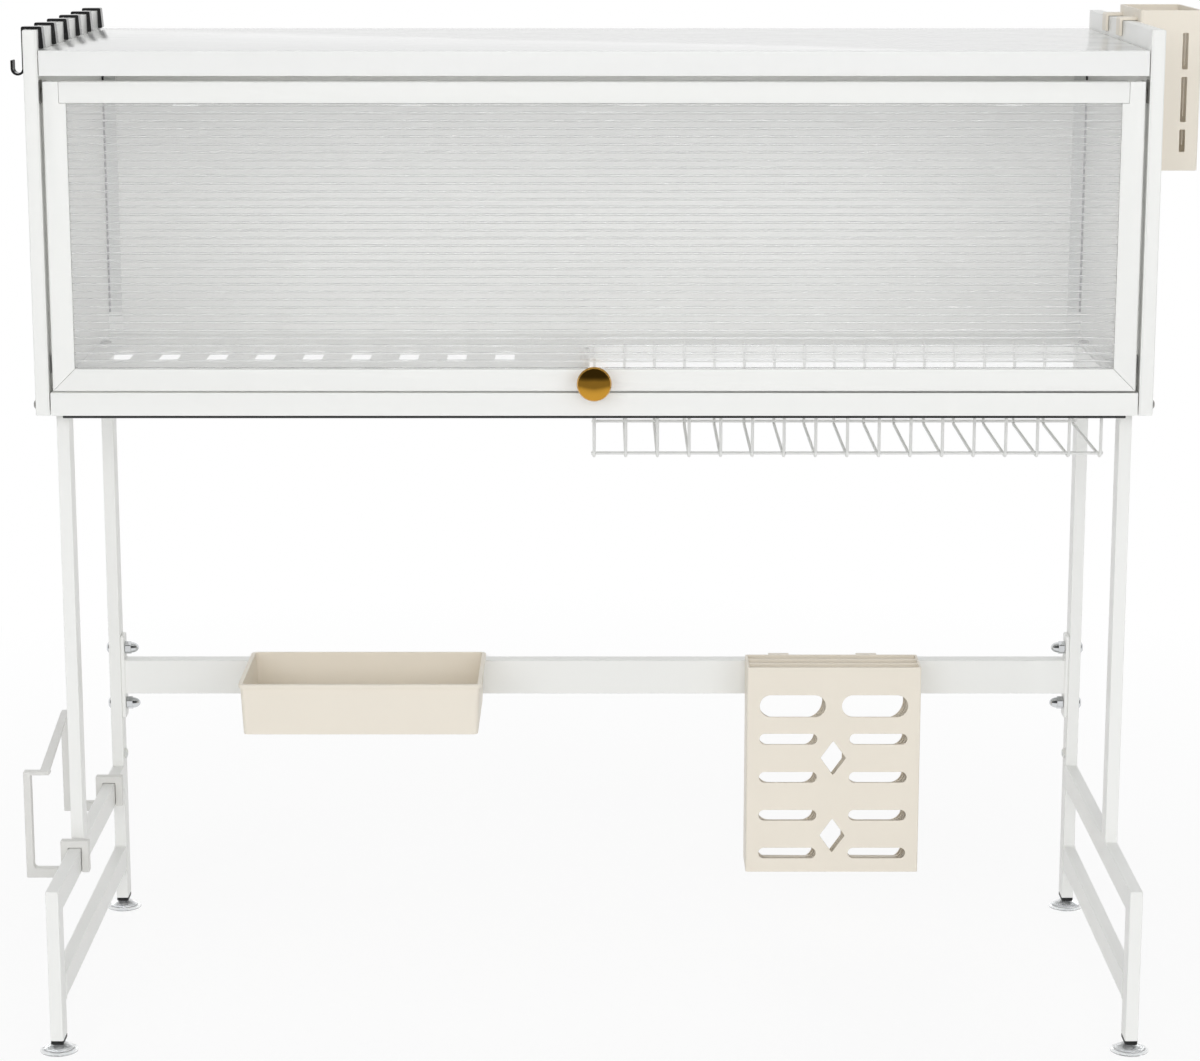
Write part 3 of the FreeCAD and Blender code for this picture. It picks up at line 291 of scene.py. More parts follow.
def dark_grey_painted_shade(name):
    # Painted shade: a dark grey, half dull strip that stands in for the shade under the front flange's fold
    # and in the gaps at the rear corners
    return finished(name, colours().edging, drift=(20 * MM, 0.85), gloss=(3 * MM, 0.4, 0.55),
                    bumps=(MM, 0.01 * MM), IOR=1.52)


def grey_rubber(name):
    # Moulded rubber: matt grey with a fine tooth
    return finished(name, colours().rubber, drift=(5 * MM, 0.9), gloss=(MM, 0.7, 0.85),
                    bumps=(0.4 * MM, 0.03 * MM), IOR=1.5)


def chrome_plate(name):
    # Bright nickel and chrome on a pressed nut: mirror-like, with a few soft dents
    return finished(name, colours().chrome, drift=(4 * MM, 0.92), gloss=(2 * MM, 0.03, 0.08),
                    bumps=(3 * MM, 0.01 * MM), Metallic=1.0)


def zinc_plate(name):
    # Barrel-plated steel screws: grey, half dull, a little blotchy
    return finished(name, colours().zinc, drift=(3 * MM, 0.8), gloss=(MM, 0.28, 0.45),
                    bumps=(0.8 * MM, 0.01 * MM), Metallic=1.0)


def lets_light_in(tree, shader):
    """Light that only brightens what lies behind the clear plastic passes straight through it."""
    path = add_node(tree, "ShaderNodeLightPath").outputs
    passing = add_node(tree, "ShaderNodeMath", {
        0: path["Is Shadow Ray"], 1: path["Is Diffuse Ray"]}, operation="MAXIMUM")
    left = add_node(tree, "ShaderNodeMath", {0: 1.0, 1: passing}, operation="SUBTRACT")
    feed(tree, shader, {"Alpha": left})


def clear_ribbed_sheet(name):
    # Extruded clear polycarbonate: a milky haze, and faint straight draw lines along the ribs
    material, tree, shader = shader_of(name, colours().clear, IOR=1.58, Transmission_Weight=0.8)
    lets_light_in(tree, shader)
    lines = waves(tree, 1.2 * MM, stretch=(0.001, 1, 1))
    varied_gloss(tree, shader, lines, 0.0, 0.01)
    relief(tree, shader, lines, 0.0002 * MM)
    return material


def soft_clear_vinyl(name):
    # Moulded soft vinyl: clear, a little cloudy, with a waxy gloss
    material, tree, shader = shader_of(name, colours().cup, IOR=1.53, Transmission_Weight=0.85)
    lets_light_in(tree, shader)
    varied_gloss(tree, shader, waves(tree, 4 * MM), 0.12, 0.24)
    relief(tree, shader, waves(tree, 3 * MM), 0.03 * MM)
    return material


def polished_brass(name):
    # Turned brass, buffed: faint rings about the knob's axis catch the light
    colour = colours().brass
    low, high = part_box("door_knob")
    material, tree, shader = shader_of(name, colour, Metallic=1.0)
    middle = [-(low[axis] + high[axis]) / 2 for axis in range(3)]
    centred = add_node(tree, "ShaderNodeMapping", {
        "Vector": object_place(tree), "Location": (middle[0], 0, middle[2]), "Scale": (1, 0, 1)})
    rings = add_node(tree, "ShaderNodeTexWave", {
        "Vector": centred, "Scale": 1 / (3 * MM), "Distortion": 0.4, "Detail": 1.0}, wave_type="RINGS",
        rings_direction="SPHERICAL")
    mottled(tree, shader, waves(tree, 7 * MM), colour, 0.9)
    varied_gloss(tree, shader, rings.outputs["Fac"], 0.05, 0.09)
    relief(tree, shader, rings.outputs["Fac"], 0.0005 * MM)
    return material


# Meshes

def applied(obj):
    """The plain mesh that an object's modifiers make. The object is removed."""
    bpy.context.view_layer.update()
    graph = bpy.context.evaluated_depsgraph_get()
    mesh = bpy.data.meshes.new_from_object(obj.evaluated_get(graph))
    bpy.data.objects.remove(obj)
    return mesh


def helper(mesh):
    obj = bpy.data.objects.new("work", mesh)
    bpy.context.scene.collection.objects.link(obj)
    return obj


def facing_out(mesh):
    shape = bmesh.new()
    shape.from_mesh(mesh)
    bmesh.ops.recalc_face_normals(shape, faces=shape.faces)
    shape.to_mesh(mesh)
    shape.free()
    return mesh


def tidied(mesh, gap=0.002 * MM):
    """Doubles merged, flat faces joined and normals turned outward."""
    shape = bmesh.new()
    shape.from_mesh(mesh)
    bmesh.ops.remove_doubles(shape, verts=shape.verts, dist=gap)
    bmesh.ops.dissolve_degenerate(shape, edges=shape.edges, dist=gap)
    bmesh.ops.dissolve_limit(shape, angle_limit=math.radians(0.5), verts=shape.verts, edges=shape.edges)
    bmesh.ops.recalc_face_normals(shape, faces=shape.faces)
    shape.to_mesh(mesh)
    shape.free()
    return mesh


def rounded(mesh, radius, steps=2, angle=24.0):
    """Edges rounded, with the flat faces kept flat to the eye."""
    mesh.shade_smooth()
    obj = helper(mesh)
    bevel = obj.modifiers.new("edges", "BEVEL")
    bevel.width = radius
    bevel.segments = steps
    bevel.limit_method = "ANGLE"
    bevel.angle_limit = math.radians(angle)
    bevel.use_clamp_overlap = False
    bevel.harden_normals = True
    return applied(obj)


def smooth(mesh, angle=35.0):
    """Round forms shaded smooth, while the flat faces beside them stay flat to the eye."""
    mesh.shade_smooth()
    mesh.set_sharp_from_angle(angle=math.radians(angle))
    obj = helper(mesh)
    weighted = obj.modifiers.new("normals", "WEIGHTED_NORMAL")
    weighted.keep_sharp = True
    return applied(obj)


def softened(node, radius, steps=2):
    """Copy of a CAD node's mesh with its edges rounded."""
    return rounded(tidied(frame["nodes"][node].data.copy()), radius, steps)


def joined(meshes):
    shape = bmesh.new()
    for mesh in meshes:
        shape.from_mesh(mesh)
    whole = bpy.data.meshes.new("joined")
    shape.to_mesh(whole)
    shape.free()
    return whole


def mesh_of(corners, faces):
    mesh = bpy.data.meshes.new("mesh")
    mesh.from_pydata([tuple(corner) for corner in corners], [], faces)
    return mesh


def closed_solid(rings):
    """Solid from rings of equally many points, with its two ends closed."""
    count = len(rings[0])
    corners = [corner for ring in rings for corner in ring]
    faces = [list(range(count))[::-1], list(range(len(corners) - count, len(corners)))]
    for level in range(len(rings) - 1):
        for step in range(count):
            following = (step + 1) % count
            low = level * count
            high = low + count
            faces.append([low + step, low + following, high + following, high + step])
    return facing_out(mesh_of(corners, faces))


def prism(outline, sweep):
    return closed_solid([outline, [corner + sweep for corner in outline]])


def box_solid(low, high):
    outline = [Vector((low[0], low[1], low[2])), Vector((high[0], low[1], low[2])),
               Vector((high[0], high[1], low[2])), Vector((low[0], high[1], low[2]))]
    return prism(outline, ALONG_Z * (high[2] - low[2]))


def turned_corners(corners, steps=6, closed=True):
    """Flat line whose corners (x, y, radius) are turned on arcs."""
    points = []
    last = len(corners) - 1
    for index, (x, y, radius) in enumerate(corners):
        here = Vector((x, y))
        if radius == 0 or (not closed and index in (0, last)):
            points.append(here)
            continue
        before = (Vector(corners[index - 1][:2]) - here).normalized()
        after = (Vector(corners[(index + 1) % len(corners)][:2]) - here).normalized()
        half = before.angle(after) / 2
        middle = here + (before + after).normalized() * radius / math.sin(half)
        start = here + before * radius / math.tan(half) - middle
        end = here + after * radius / math.tan(half) - middle
        sweep = start.angle(end)
        for step in range(steps + 1):
            share = step / steps
            points.append(middle + (start * math.sin((1 - share) * sweep)
                                    + end * math.sin(share * sweep)) / math.sin(sweep))
    return points


def tube_run(start, end, across, width, deep, radius, cuts=(None, None), seam=0.12 * MM):
    """Straight length of rectangular tube with rounded corners. A cut is the normal of a mitred end."""
    way = (end - start).normalized()
    other = way.cross(across)
    rings = []
    for place, cut, inward in ((start, cuts[0], way), (end, cuts[1], -way)):
        cut = cut or way
        pair = []
        for inset, back in ((seam, 0.0), (0.0, seam)):
            outline = turned_corners(rectangle(inset - width / 2, width / 2 - inset, inset - deep / 2,
                                               deep / 2 - inset, radius), steps=4)
            ring = []
            for u, v in outline:
                offset = across * u + other * v
                ring.append(place + offset - way * (offset.dot(cut) / way.dot(cut)) + inward * back)
            pair.append(ring)
        rings += pair if inward == way else pair[::-1]
    return closed_solid(rings)


def upright(points, z):
    return [Vector((point[0], point[1], z)) for point in points]


def rectangle(x0, x1, y0, y1, radius):
    return [(x0, y0, radius), (x1, y0, radius), (x1, y1, radius), (x0, y1, radius)]


def round_slot(x, z, width, height, steps=8):
    """Outline of a slot with round ends about (x, z)."""
    radius = min(width, height) / 2 * 0.999
    corners = rectangle(x - width / 2, x + width / 2, z - height / 2, z + height / 2, radius)
    return turned_corners(corners, steps)


def lathed(profile, centre, axis, sides):
    """Closed solid of (radius, distance) points turned about an axis."""
    turn = ALONG_Z.rotation_difference(axis).to_matrix()
    corners = []
    rings = []
    for radius, distance in profile:
        count = 1 if radius < 1e-7 else sides
        rings.append((len(corners), count))
        for step in range(count):
            angle = 2 * math.pi * step / sides
            place = Vector((radius * math.cos(angle), radius * math.sin(angle), distance))
            corners.append(centre + turn @ place)
    faces = []
    for (low, low_count), (high, high_count) in zip(rings, rings[1:]):
        for step in range(sides):
            following = (step + 1) % sides
            if low_count == 1 and high_count == 1:
                continue
            if low_count == 1:
                faces.append([low, high + following, high + step])
            elif high_count == 1:
                faces.append([low + step, low + following, high])
            else:
                faces.append([low + step, low + following, high + following, high + step])
    return facing_out(mesh_of(corners, faces))


def in_mm(corners):
    """Corners (x, y, radius of the rounding), given in millimetres."""
    return [(x * MM, y * MM, radius * MM) for x, y, radius in corners]


def cut_by(mesh, cutters):
    """Solid with other solids taken out of it."""
    obj = helper(mesh)
    tool = helper(joined(cutters))
    boolean = obj.modifiers.new("cut", "BOOLEAN")
    boolean.operation = "DIFFERENCE"
    boolean.solver = "EXACT"
    boolean.use_self = True
    boolean.object = tool
    result = applied(obj)
    bpy.data.objects.remove(tool)
    return tidied(result)


def piece(name, mesh, slot, maker, *nodes, body=None):
    """Adds a finished mesh that stands for CAD nodes and rides on their body."""
    mesh.materials.clear()
    mesh.materials.append(made_once(maker))
    obj = bpy.data.objects.new(name, mesh)
    bpy.context.scene.collection.objects.link(obj)
    if nodes:
        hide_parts(*nodes)
    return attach(obj, body or body_of[nodes[0]])


def softened_piece(node, radius, slot, maker, steps=2):
    return piece(node + "_finished", softened(node, radius, steps), slot, maker, node)


# Geometry node trees

def new_tree(name, **inputs):
    """Node tree with a geometry input and named inputs, given as (socket type, default)."""
    tree = bpy.data.node_groups.new(name, "GeometryNodeTree")
    tree.interface.new_socket("Geometry", in_out="INPUT", socket_type="NodeSocketGeometry")
    tree.interface.new_socket("Geometry", in_out="OUTPUT", socket_type="NodeSocketGeometry")
    for label, (kind, default) in inputs.items():
        socket = tree.interface.new_socket(label.replace("_", " "), in_out="INPUT",
                                           socket_type="NodeSocket" + kind)
        if default is not None:
            socket.default_value = default
    return tree, tree.nodes.new("NodeGroupInput").outputs


def end_tree(tree, geometry, maker):
    real = add_node(tree, "GeometryNodeRealizeInstances", {"Geometry": geometry})
    finish = add_node(tree, "GeometryNodeSetMaterial", {"Geometry": real, "Material": made_once(maker)})
    add_node(tree, "NodeGroupOutput", {"Geometry": finish})


def grown(tree, start, **values):
    """Plain mesh that a node tree makes of a starting mesh."""
    obj = helper(start)
    modifier = obj.modifiers.new("growth", "NODES")
    modifier.node_group = tree
    for item in tree.interface.items_tree:
        label = item.name.replace(" ", "_")
        if item.in_out == "INPUT" and label in values:
            modifier[item.identifier] = values[label]
    return applied(obj)


def wire_tree(maker):
    """Round wire along a bent path, repeated at equal steps."""
    tree, given = new_tree("bent_wire_" + maker.__name__, Wire_Diameter=("Float", 2.5 * MM),
                           Bend_Radius=("Float", 4 * MM), Copies=("Int", 1),
                           Step=("Vector", (0.0, 0.0, 0.0)))
    path = add_node(tree, "GeometryNodeMeshToCurve", {"Mesh": given["Geometry"]})
    bent = add_node(tree, "GeometryNodeFilletCurve", {
        "Curve": path, "Count": 6, "Radius": given["Bend Radius"], "Limit Radius": True}, mode="POLY")
    radius = add_node(tree, "ShaderNodeMath", {0: given["Wire Diameter"], 1: 0.5}, operation="MULTIPLY")
    section = add_node(tree, "GeometryNodeCurvePrimitiveCircle", {"Resolution": 10, "Radius": radius})
    wire = add_node(tree, "GeometryNodeCurveToMesh", {
        "Curve": bent, "Profile Curve": section, "Fill Caps": True})
    places = add_node(tree, "GeometryNodeMeshLine", {
        "Count": given["Copies"], "Offset": given["Step"]}, mode="OFFSET")
    copies = add_node(tree, "GeometryNodeInstanceOnPoints", {"Points": places, "Instance": wire})
    end_tree(tree, copies, maker)
    return tree


def path_mesh(points, closed=False):
    mesh = bpy.data.meshes.new("path")
    edges = [(index, index + 1) for index in range(len(points) - 1)]
    if closed:
        edges.append((len(points) - 1, 0))
    mesh.from_pydata([tuple(point) for point in points], edges, [])
    return mesh


def pattern_tree(maker):
    """One part repeated on points, its top turned to each point's facing."""
    tree, given = new_tree("repeated_part_" + maker.__name__, Part=("Object", None), Size=("Float", 1.0))
    part = add_node(tree, "GeometryNodeObjectInfo", {"Object": given["Part"]})
    facing = add_node(tree, "GeometryNodeInputNamedAttribute", {"Name": "facing"}, data_type="FLOAT_VECTOR")
    turn = add_node(tree, "FunctionNodeAlignRotationToVector", {
        "Vector": facing.outputs["Attribute"]}, axis="Z")
    copies = add_node(tree, "GeometryNodeInstanceOnPoints", {
        "Points": given["Geometry"], "Instance": part.outputs["Geometry"], "Rotation": turn,
        "Scale": given["Size"]})
    end_tree(tree, copies, maker)
    return tree


def repeated_piece(name, part, places, slot, maker, node):
    """Piece made of one part set at every (place, facing)."""
    points = bpy.data.meshes.new("places")
    points.from_pydata([tuple(place) for place, facing in places], [], [])
    attribute = points.attributes.new("facing", "FLOAT_VECTOR", "POINT")
    for index, (place, facing) in enumerate(places):
        attribute.data[index].vector = facing
    obj = helper(part)
    mesh = grown(pattern_tree(maker), points, Part=obj)
    bpy.data.objects.remove(obj)
    return piece(name, mesh, slot, maker, node)


# Section of the ribbed sheet, each value from those before it: a rib is half an ellipse on its rear
RIB_VALUES = (
    ("steps", "DIVIDE", "Height", 0.25 * MM),
    ("whole steps", "ROUND", "steps"),
    ("rows", "ADD", "whole steps", 1.0),
    ("half pitch", "MULTIPLY", "Rib Pitch", 0.5),
    ("lower half pitch", "MULTIPLY", "Rib Pitch", -0.5),
    ("from rib", "WRAP", "up", "half pitch", "lower half pitch"),
    ("half rib", "MULTIPLY", "Rib Width", 0.5),
    ("share", "DIVIDE", "from rib", "half rib"),
    ("square", "MULTIPLY", "share", "share"),
    ("rest", "SUBTRACT", 1.0, "square"),
    ("inside", "MAXIMUM", "rest", 0.0),
    ("arc", "SQRT", "inside"),
    ("rib", "MULTIPLY", "arc", "Rib Height"),
    ("full depth", "ADD", "rib", "Thickness"),
    ("away", "ADD", "side", 0.5),
    ("depth", "MULTIPLY", "away", "full depth"),
    ("half height", "MULTIPLY", "Height", 0.5),
    ("level", "ADD", "up", "half height"),
    ("drawn back", "MULTIPLY", "Width", -1.0),
)


def ribbed_sheet_tree():
    """Clear sheet whose rear face carries round ribs at an even pitch."""
    tree, given = new_tree("ribbed_sheet", Width=("Float", 1.0), Height=("Float", 1.0),
                           Thickness=("Float", 1.6 * MM), Rib_Pitch=("Float", 6 * MM),
                           Rib_Width=("Float", 1.6 * MM), Rib_Height=("Float", 0.6 * MM),
                           Corner=("Vector", (0.0, 0.0, 0.0)))
    place = add_node(tree, "ShaderNodeSeparateXYZ", {
        "Vector": add_node(tree, "GeometryNodeInputPosition").outputs["Position"]})
    values = {name: given[name] for name in ("Width", "Height", "Thickness", "Rib Pitch", "Rib Width",
                                             "Rib Height")}
    values["up"] = place.outputs["X"]
    values["side"] = place.outputs["Y"]
    for name, operation, *terms in RIB_VALUES:
        inputs = {index: values.get(term, term) for index, term in enumerate(terms)}
        values[name] = add_node(tree, "ShaderNodeMath", inputs, operation=operation)
    grid = add_node(tree, "GeometryNodeMeshGrid", {
        "Size X": given["Height"], "Size Y": 1.0, "Vertices X": values["rows"], "Vertices Y": 2})
    section = add_node(tree, "ShaderNodeCombineXYZ", {
        "X": given["Width"], "Y": values["depth"], "Z": values["level"]})
    placed = add_node(tree, "ShaderNodeVectorMath", {0: section, 1: given["Corner"]}, operation="ADD")
    end = add_node(tree, "GeometryNodeSetPosition", {"Geometry": grid, "Position": placed})
    across = add_node(tree, "ShaderNodeCombineXYZ", {"X": values["drawn back"]})
    drawn = add_node(tree, "GeometryNodeExtrudeMesh", {
        "Mesh": end, "Offset": across, "Offset Scale": 1.0, "Individual": False}, mode="FACES")
    cap = add_node(tree, "GeometryNodeFlipFaces", {"Mesh": end})
    both = add_node(tree, "GeometryNodeJoinGeometry")
    for part in (drawn, cap):
        feed(tree, both, {"Geometry": part})
    closed = add_node(tree, "GeometryNodeMergeByDistance", {"Geometry": both, "Distance": 0.01 * MM})
    end_tree(tree, closed, clear_ribbed_sheet)
    return tree


# Places read from the solids

def middle_of(node):
    low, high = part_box(node)
    return (low + high) / 2


def rack_middle():
    return (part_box("base_frame_left")[0].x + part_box("base_frame_right")[1].x) / 2


def both_sides(x):
    """The place at x and its mirror image across the rack's middle."""
    return (x, 2 * rack_middle() - x)


def outward(x):
    return ALONG_X if x > rack_middle() else -ALONG_X


def cross_recess(radius, depth, top):
    """Cutters for a cross recess in a screw's head."""
    half = radius * 0.16
    long = radius * 0.62
    return [box_solid((-long, -half, top - depth), (long, half, top + MM)),
            box_solid((-half, -long, top - depth), (half, long, top + MM))]


def screw_part(head, height, shank, reach, recess=True):
    """Screw with its head's seat at the origin, its head along Z."""
    profile = turned_corners([(0, -reach, 0), (shank, -reach, 0), (shank, 0, 0), (head, 0, 0),
                              (head, height * 0.45, height * 0.2), (head * 0.62, height, head * 0.4),
                              (0, height, 0)], steps=4, closed=False)
    mesh = lathed(profile, Vector(), ALONG_Z, 32)
    if recess:
        for cutter in cross_recess(head, height * 0.6, height):
            mesh = cut_by(mesh, [cutter])
    return smooth(mesh, 30)


def dome_nut_part():
    """Hexagon nut with turned corners under a smooth dome, its seat at the origin."""
    flats = 10 * MM
    tall = 5.5 * MM
    corner = flats / math.sqrt(3)
    ring = [Vector((corner * math.cos(turn * math.pi / 3), corner * math.sin(turn * math.pi / 3), 0))
            for turn in range(6)]
    hexagon = rounded(prism(ring, ALONG_Z * tall), 0.5 * MM)
    wide = 4.7 * MM
    rise = 6.8 * MM
    base = tall - 0.3 * MM
    quarter = [turn * math.pi / 20 for turn in range(10)]
    arc = [(wide * math.cos(angle), base + rise * math.sin(angle)) for angle in quarter]
    dome = lathed([(0, tall - MM), (wide, tall - MM)] + arc + [(0, base + rise)], Vector(), ALONG_Z, 40)
    return joined([hexagon, smooth(dome)])


# One operator for each piece or group of like pieces

class RackStep(bpy.types.Operator):
    """Base of the steps that build the rack's pieces"""
    bl_idname = "dish_rack.step"
    bl_label = "Step"
    bl_options = {"REGISTER", "UNDO"}

    def execute(self, context):
        self.build()
        return {"FINISHED"}


class Tubes(RackStep):
    """Draws the tubes of the base frames, the posts and the cross bar"""
    bl_idname = "dish_rack.tubes"
    bl_label = "Tubes"

    def build(self):
        for side in ("left", "right"):
            self.base_frame(side)
            for place in ("front", "rear"):
                self.post(place + "_post_" + side)
        self.cross_bar()

    def finish(self, runs, node):
        piece(node + "_finished", smooth(joined(runs)), "white_steel", powder_coated_steel, node)

    def base_frame(self, side):
        """Front leg, upper rail and rear leg mitred together, with the lower rail between the legs."""
        node = "base_frame_" + side
        low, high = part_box(node)
        x = (low.x + high.x) / 2
        front = low.y + TUBE_DEEP / 2
        rear = high.y - TUBE_DEEP / 2
        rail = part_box("front_post_" + side)[0].z - TUBE_DEEP / 2
        path = [Vector((x, front, low.z)), Vector((x, front, rail)), Vector((x, rear, rail)),
                Vector((x, rear, low.z))]
        edge = sizes().tube_edge
        cuts = (None, (ALONG_Y + ALONG_Z).normalized(), (ALONG_Y - ALONG_Z).normalized(), None)
        runs = [tube_run(path[step], path[step + 1], ALONG_X, TUBE_WIDE, TUBE_DEEP, edge,
                         cuts[step:step + 2], seam=0.3 * MM) for step in range(3)]
        lower = low.z + LOWER_RAIL
        runs.append(tube_run(Vector((x, low.y + TUBE_DEEP, lower)),
                             Vector((x, high.y - TUBE_DEEP, lower)), ALONG_X, TUBE_WIDE, TUBE_DEEP, edge))
        self.finish(runs, node)

    def post(self, node):
        low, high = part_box(node)
        middle = (low + high) / 2
        run = tube_run(Vector((middle.x, middle.y, low.z)), Vector((middle.x, middle.y, high.z)),
                       ALONG_X, high.x - low.x, high.y - low.y, sizes().tube_edge)
        self.finish([run], node)

    def cross_bar(self):
        low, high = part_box("cross_bar")
        middle = (low + high) / 2
        runs = [tube_run(Vector((low.x + BAR_PLATE, middle.y, middle.z)),
                         Vector((high.x - BAR_PLATE, middle.y, middle.z)), ALONG_Y, BAR_WIDE, BAR_TALL,
                         sizes().tube_edge)]
        for x in (low.x, high.x - BAR_PLATE):
            runs.append(tube_run(Vector((x, middle.y, middle.z)),
                                 Vector((x + BAR_PLATE, middle.y, middle.z)), ALONG_Y, high.y - low.y,
                                 high.z - low.z, 2 * MM, seam=0.4 * MM))
        self.finish(runs, "cross_bar")


class Welds(RackStep):
    """Lays the weld beads where the lower rails and the cross bar meet what they are welded to"""
    bl_idname = "dish_rack.welds"
    bl_label = "Weld beads"

    def build(self):
        tree = wire_tree(powder_coated_steel)
        bead = {"Wire_Diameter": sizes().weld, "Bend_Radius": MM, "Copies": 1}
        beads = []
        low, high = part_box("base_frame_right")
        rail_low = low.z + LOWER_RAIL - TUBE_DEEP / 2
        for x in (low.x, both_sides(high.x)[1]):
            for y in (low.y + TUBE_DEEP, high.y - TUBE_DEEP):
                ring = [(x, y, rail_low), (x + TUBE_WIDE, y, rail_low),
                        (x + TUBE_WIDE, y, rail_low + TUBE_DEEP), (x, y, rail_low + TUBE_DEEP)]
                beads.append(grown(tree, path_mesh(ring, True), **bead))
        bar = middle_of("cross_bar")
        for x in both_sides(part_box("cross_bar")[1].x - BAR_PLATE):
            ring = [(x, bar.y + side * BAR_WIDE / 2, bar.z + level * BAR_TALL / 2)
                    for side, level in ((-1, -1), (1, -1), (1, 1), (-1, 1))]
            beads.append(grown(tree, path_mesh(ring, True), **bead))
        piece("weld_beads", smooth(joined(beads)), "white_steel", powder_coated_steel, body="frame")


class Cabinet(RackStep):
    """Rounds the folds and cut edges of the cabinet's sheets"""
    bl_idname = "dish_rack.cabinet"
    bl_label = "Cabinet"

    def build(self):
        edge = sizes().sheet_edge
        for node in ("side_cover_left", "side_cover_right", "side_liner_left", "side_liner_right",
                     "back_panel"):
            softened_piece(node, edge, "white_steel", powder_coated_steel)
        for node, maker in (("cabinet_floor", powder_coated_steel), ("top_shelf", glossy_coated_steel)):
            mesh = self.trimmed(tidied(frame["nodes"][node].data.copy()), node)
            piece(node + "_finished", rounded(mesh, edge), "white_steel", maker, node)

    def trimmed(self, mesh, node):
        """Front flange's ends cut back a little from the side panels, as a fold needs."""
        low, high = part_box(node)
        flange = 7.9 * MM
        near = 0.1 * MM
        cut = 0.9 * MM
        for vertex in mesh.vertices:
            if vertex.co.y < low.y + flange:
                if vertex.co.x > high.x - near:
                    vertex.co.x -= cut
                elif vertex.co.x < low.x + near:
                    vertex.co.x += cut
        return mesh


class Edging(RackStep):
    """Adds dark strips that paint the shade under the front flange and in the gaps at the rear corners, and
    grey strips that paint the shade on the rear corner returns
    """
    bl_idname = "dish_rack.edging"
    bl_label = "Edging"

    def build(self):
        low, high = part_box("cabinet_floor")
        y = low.y + 1.6 * MM
        z = low.z - 0.8 * MM
        flange_shade_line = tube_run(Vector((low.x + 10 * MM, y, z)), Vector((high.x - 10 * MM, y, z)), ALONG_Y,
                         3 * MM, 2.4 * MM, 0.7 * MM, seam=0.3 * MM)
        returns = []
        corner_gap_shade = []
        rear = high.y - 1.2 * MM
        bottom = high.z + 9 * MM
        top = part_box("top_shelf")[1].z - 20 * MM
        for x in both_sides(high.x):
            inward = -outward(x)
            for width, gap, meshes in ((1.8 * MM, 0.05 * MM, corner_gap_shade), (10 * MM, 1.9 * MM, returns)):
                middle = Vector((x, rear, 0)) + inward * (gap + width / 2)
                meshes.append(tube_run(middle + ALONG_Z * bottom, middle + ALONG_Z * top, ALONG_X,
                                       width, 0.8 * MM, 0.2 * MM))
        # Painted shade: dark strips where the flange's fold and the rear corner gaps lie in shade
        piece("flange_edging", smooth(joined([flange_shade_line] + corner_gap_shade)), "black_plastic", dark_grey_painted_shade,
              body="frame")
        # Painted shade: grey strips where the rear corner returns lie in shade
        piece("corner_returns", smooth(joined(returns)), "white_steel", grey_coated_steel, body="frame")


class DoorFrame(RackStep):
    """Rounds the door's rolled frame and its clips, hinges and stops"""
    bl_idname = "dish_rack.door_frame"
    bl_label = "Door frame"

    def build(self):
        edge = sizes().sheet_edge
        for node in ("door_stile_left", "door_stile_right", "door_top_rail", "door_bottom_rail"):
            softened_piece(node, 2 * edge, "white_steel", powder_coated_steel)
        softened_piece("door_panel_clips", edge, "white_plastic", white_nylon)
        softened_piece("hinge_plates", edge, "steel", zinc_plate)
        softened_piece("hinge_bushes", edge, "white_plastic", white_nylon)
        softened_piece("door_stops", 0.6 * MM, "grey_rubber", grey_rubber)


class DoorPanel(RackStep):
    """Draws the clear ribbed sheet in the door"""
    bl_idname = "dish_rack.door_panel"
    bl_label = "Door panel"

    def build(self):
        low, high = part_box("door_panel")
        given = sizes()
        mesh = grown(ribbed_sheet_tree(), bpy.data.meshes.new("start"), Width=high.x - low.x,
                     Height=high.z - low.z, Thickness=1.6 * MM, Rib_Pitch=given.rib_pitch,
                     Rib_Width=given.rib_width, Rib_Height=given.rib_height,
                     Corner=(low.x, low.y, low.z))
        piece("ribbed_door_panel", smooth(mesh, 30), "clear_panel", clear_ribbed_sheet, "door_panel")


class Knob(RackStep):
    """Turns the brass knob"""
    bl_idname = "dish_rack.knob"
    bl_label = "Knob"

    def build(self):
        middle = middle_of("door_knob")
        seat = Vector((middle.x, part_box("door_knob")[1].y, middle.z))
        corners = [(0, 0, 0), (7.5, 0, 0), (7.5, 1.6, 0.8), (5, 2.6, 1.2), (5, 12.5, 3),
                   (11.5, 15.5, 2.5), (13.5, 17.6, 0.7), (13.5, 18.6, 0.7), (12.6, 21.2, 0.4),
                   (6.2, 24, 26), (0, 24, 0)]
        profile = turned_corners(in_mm(corners), steps=8, closed=False)
        mesh = lathed(profile, seat, -ALONG_Y, 2 * sizes().round_sides)
        piece("turned_knob", smooth(mesh, 40), "knob_brass", polished_brass, "door_knob")
        head = 2.4 * MM
        screw = screw_part(4 * MM, head, 2 * MM, 11 * MM)
        seat = Vector((middle.x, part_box("door_knob_screw")[1].y - head, middle.z))
        repeated_piece("knob_screw_finished", screw, [(seat, ALONG_Y)], "steel", zinc_plate,
                       "door_knob_screw")


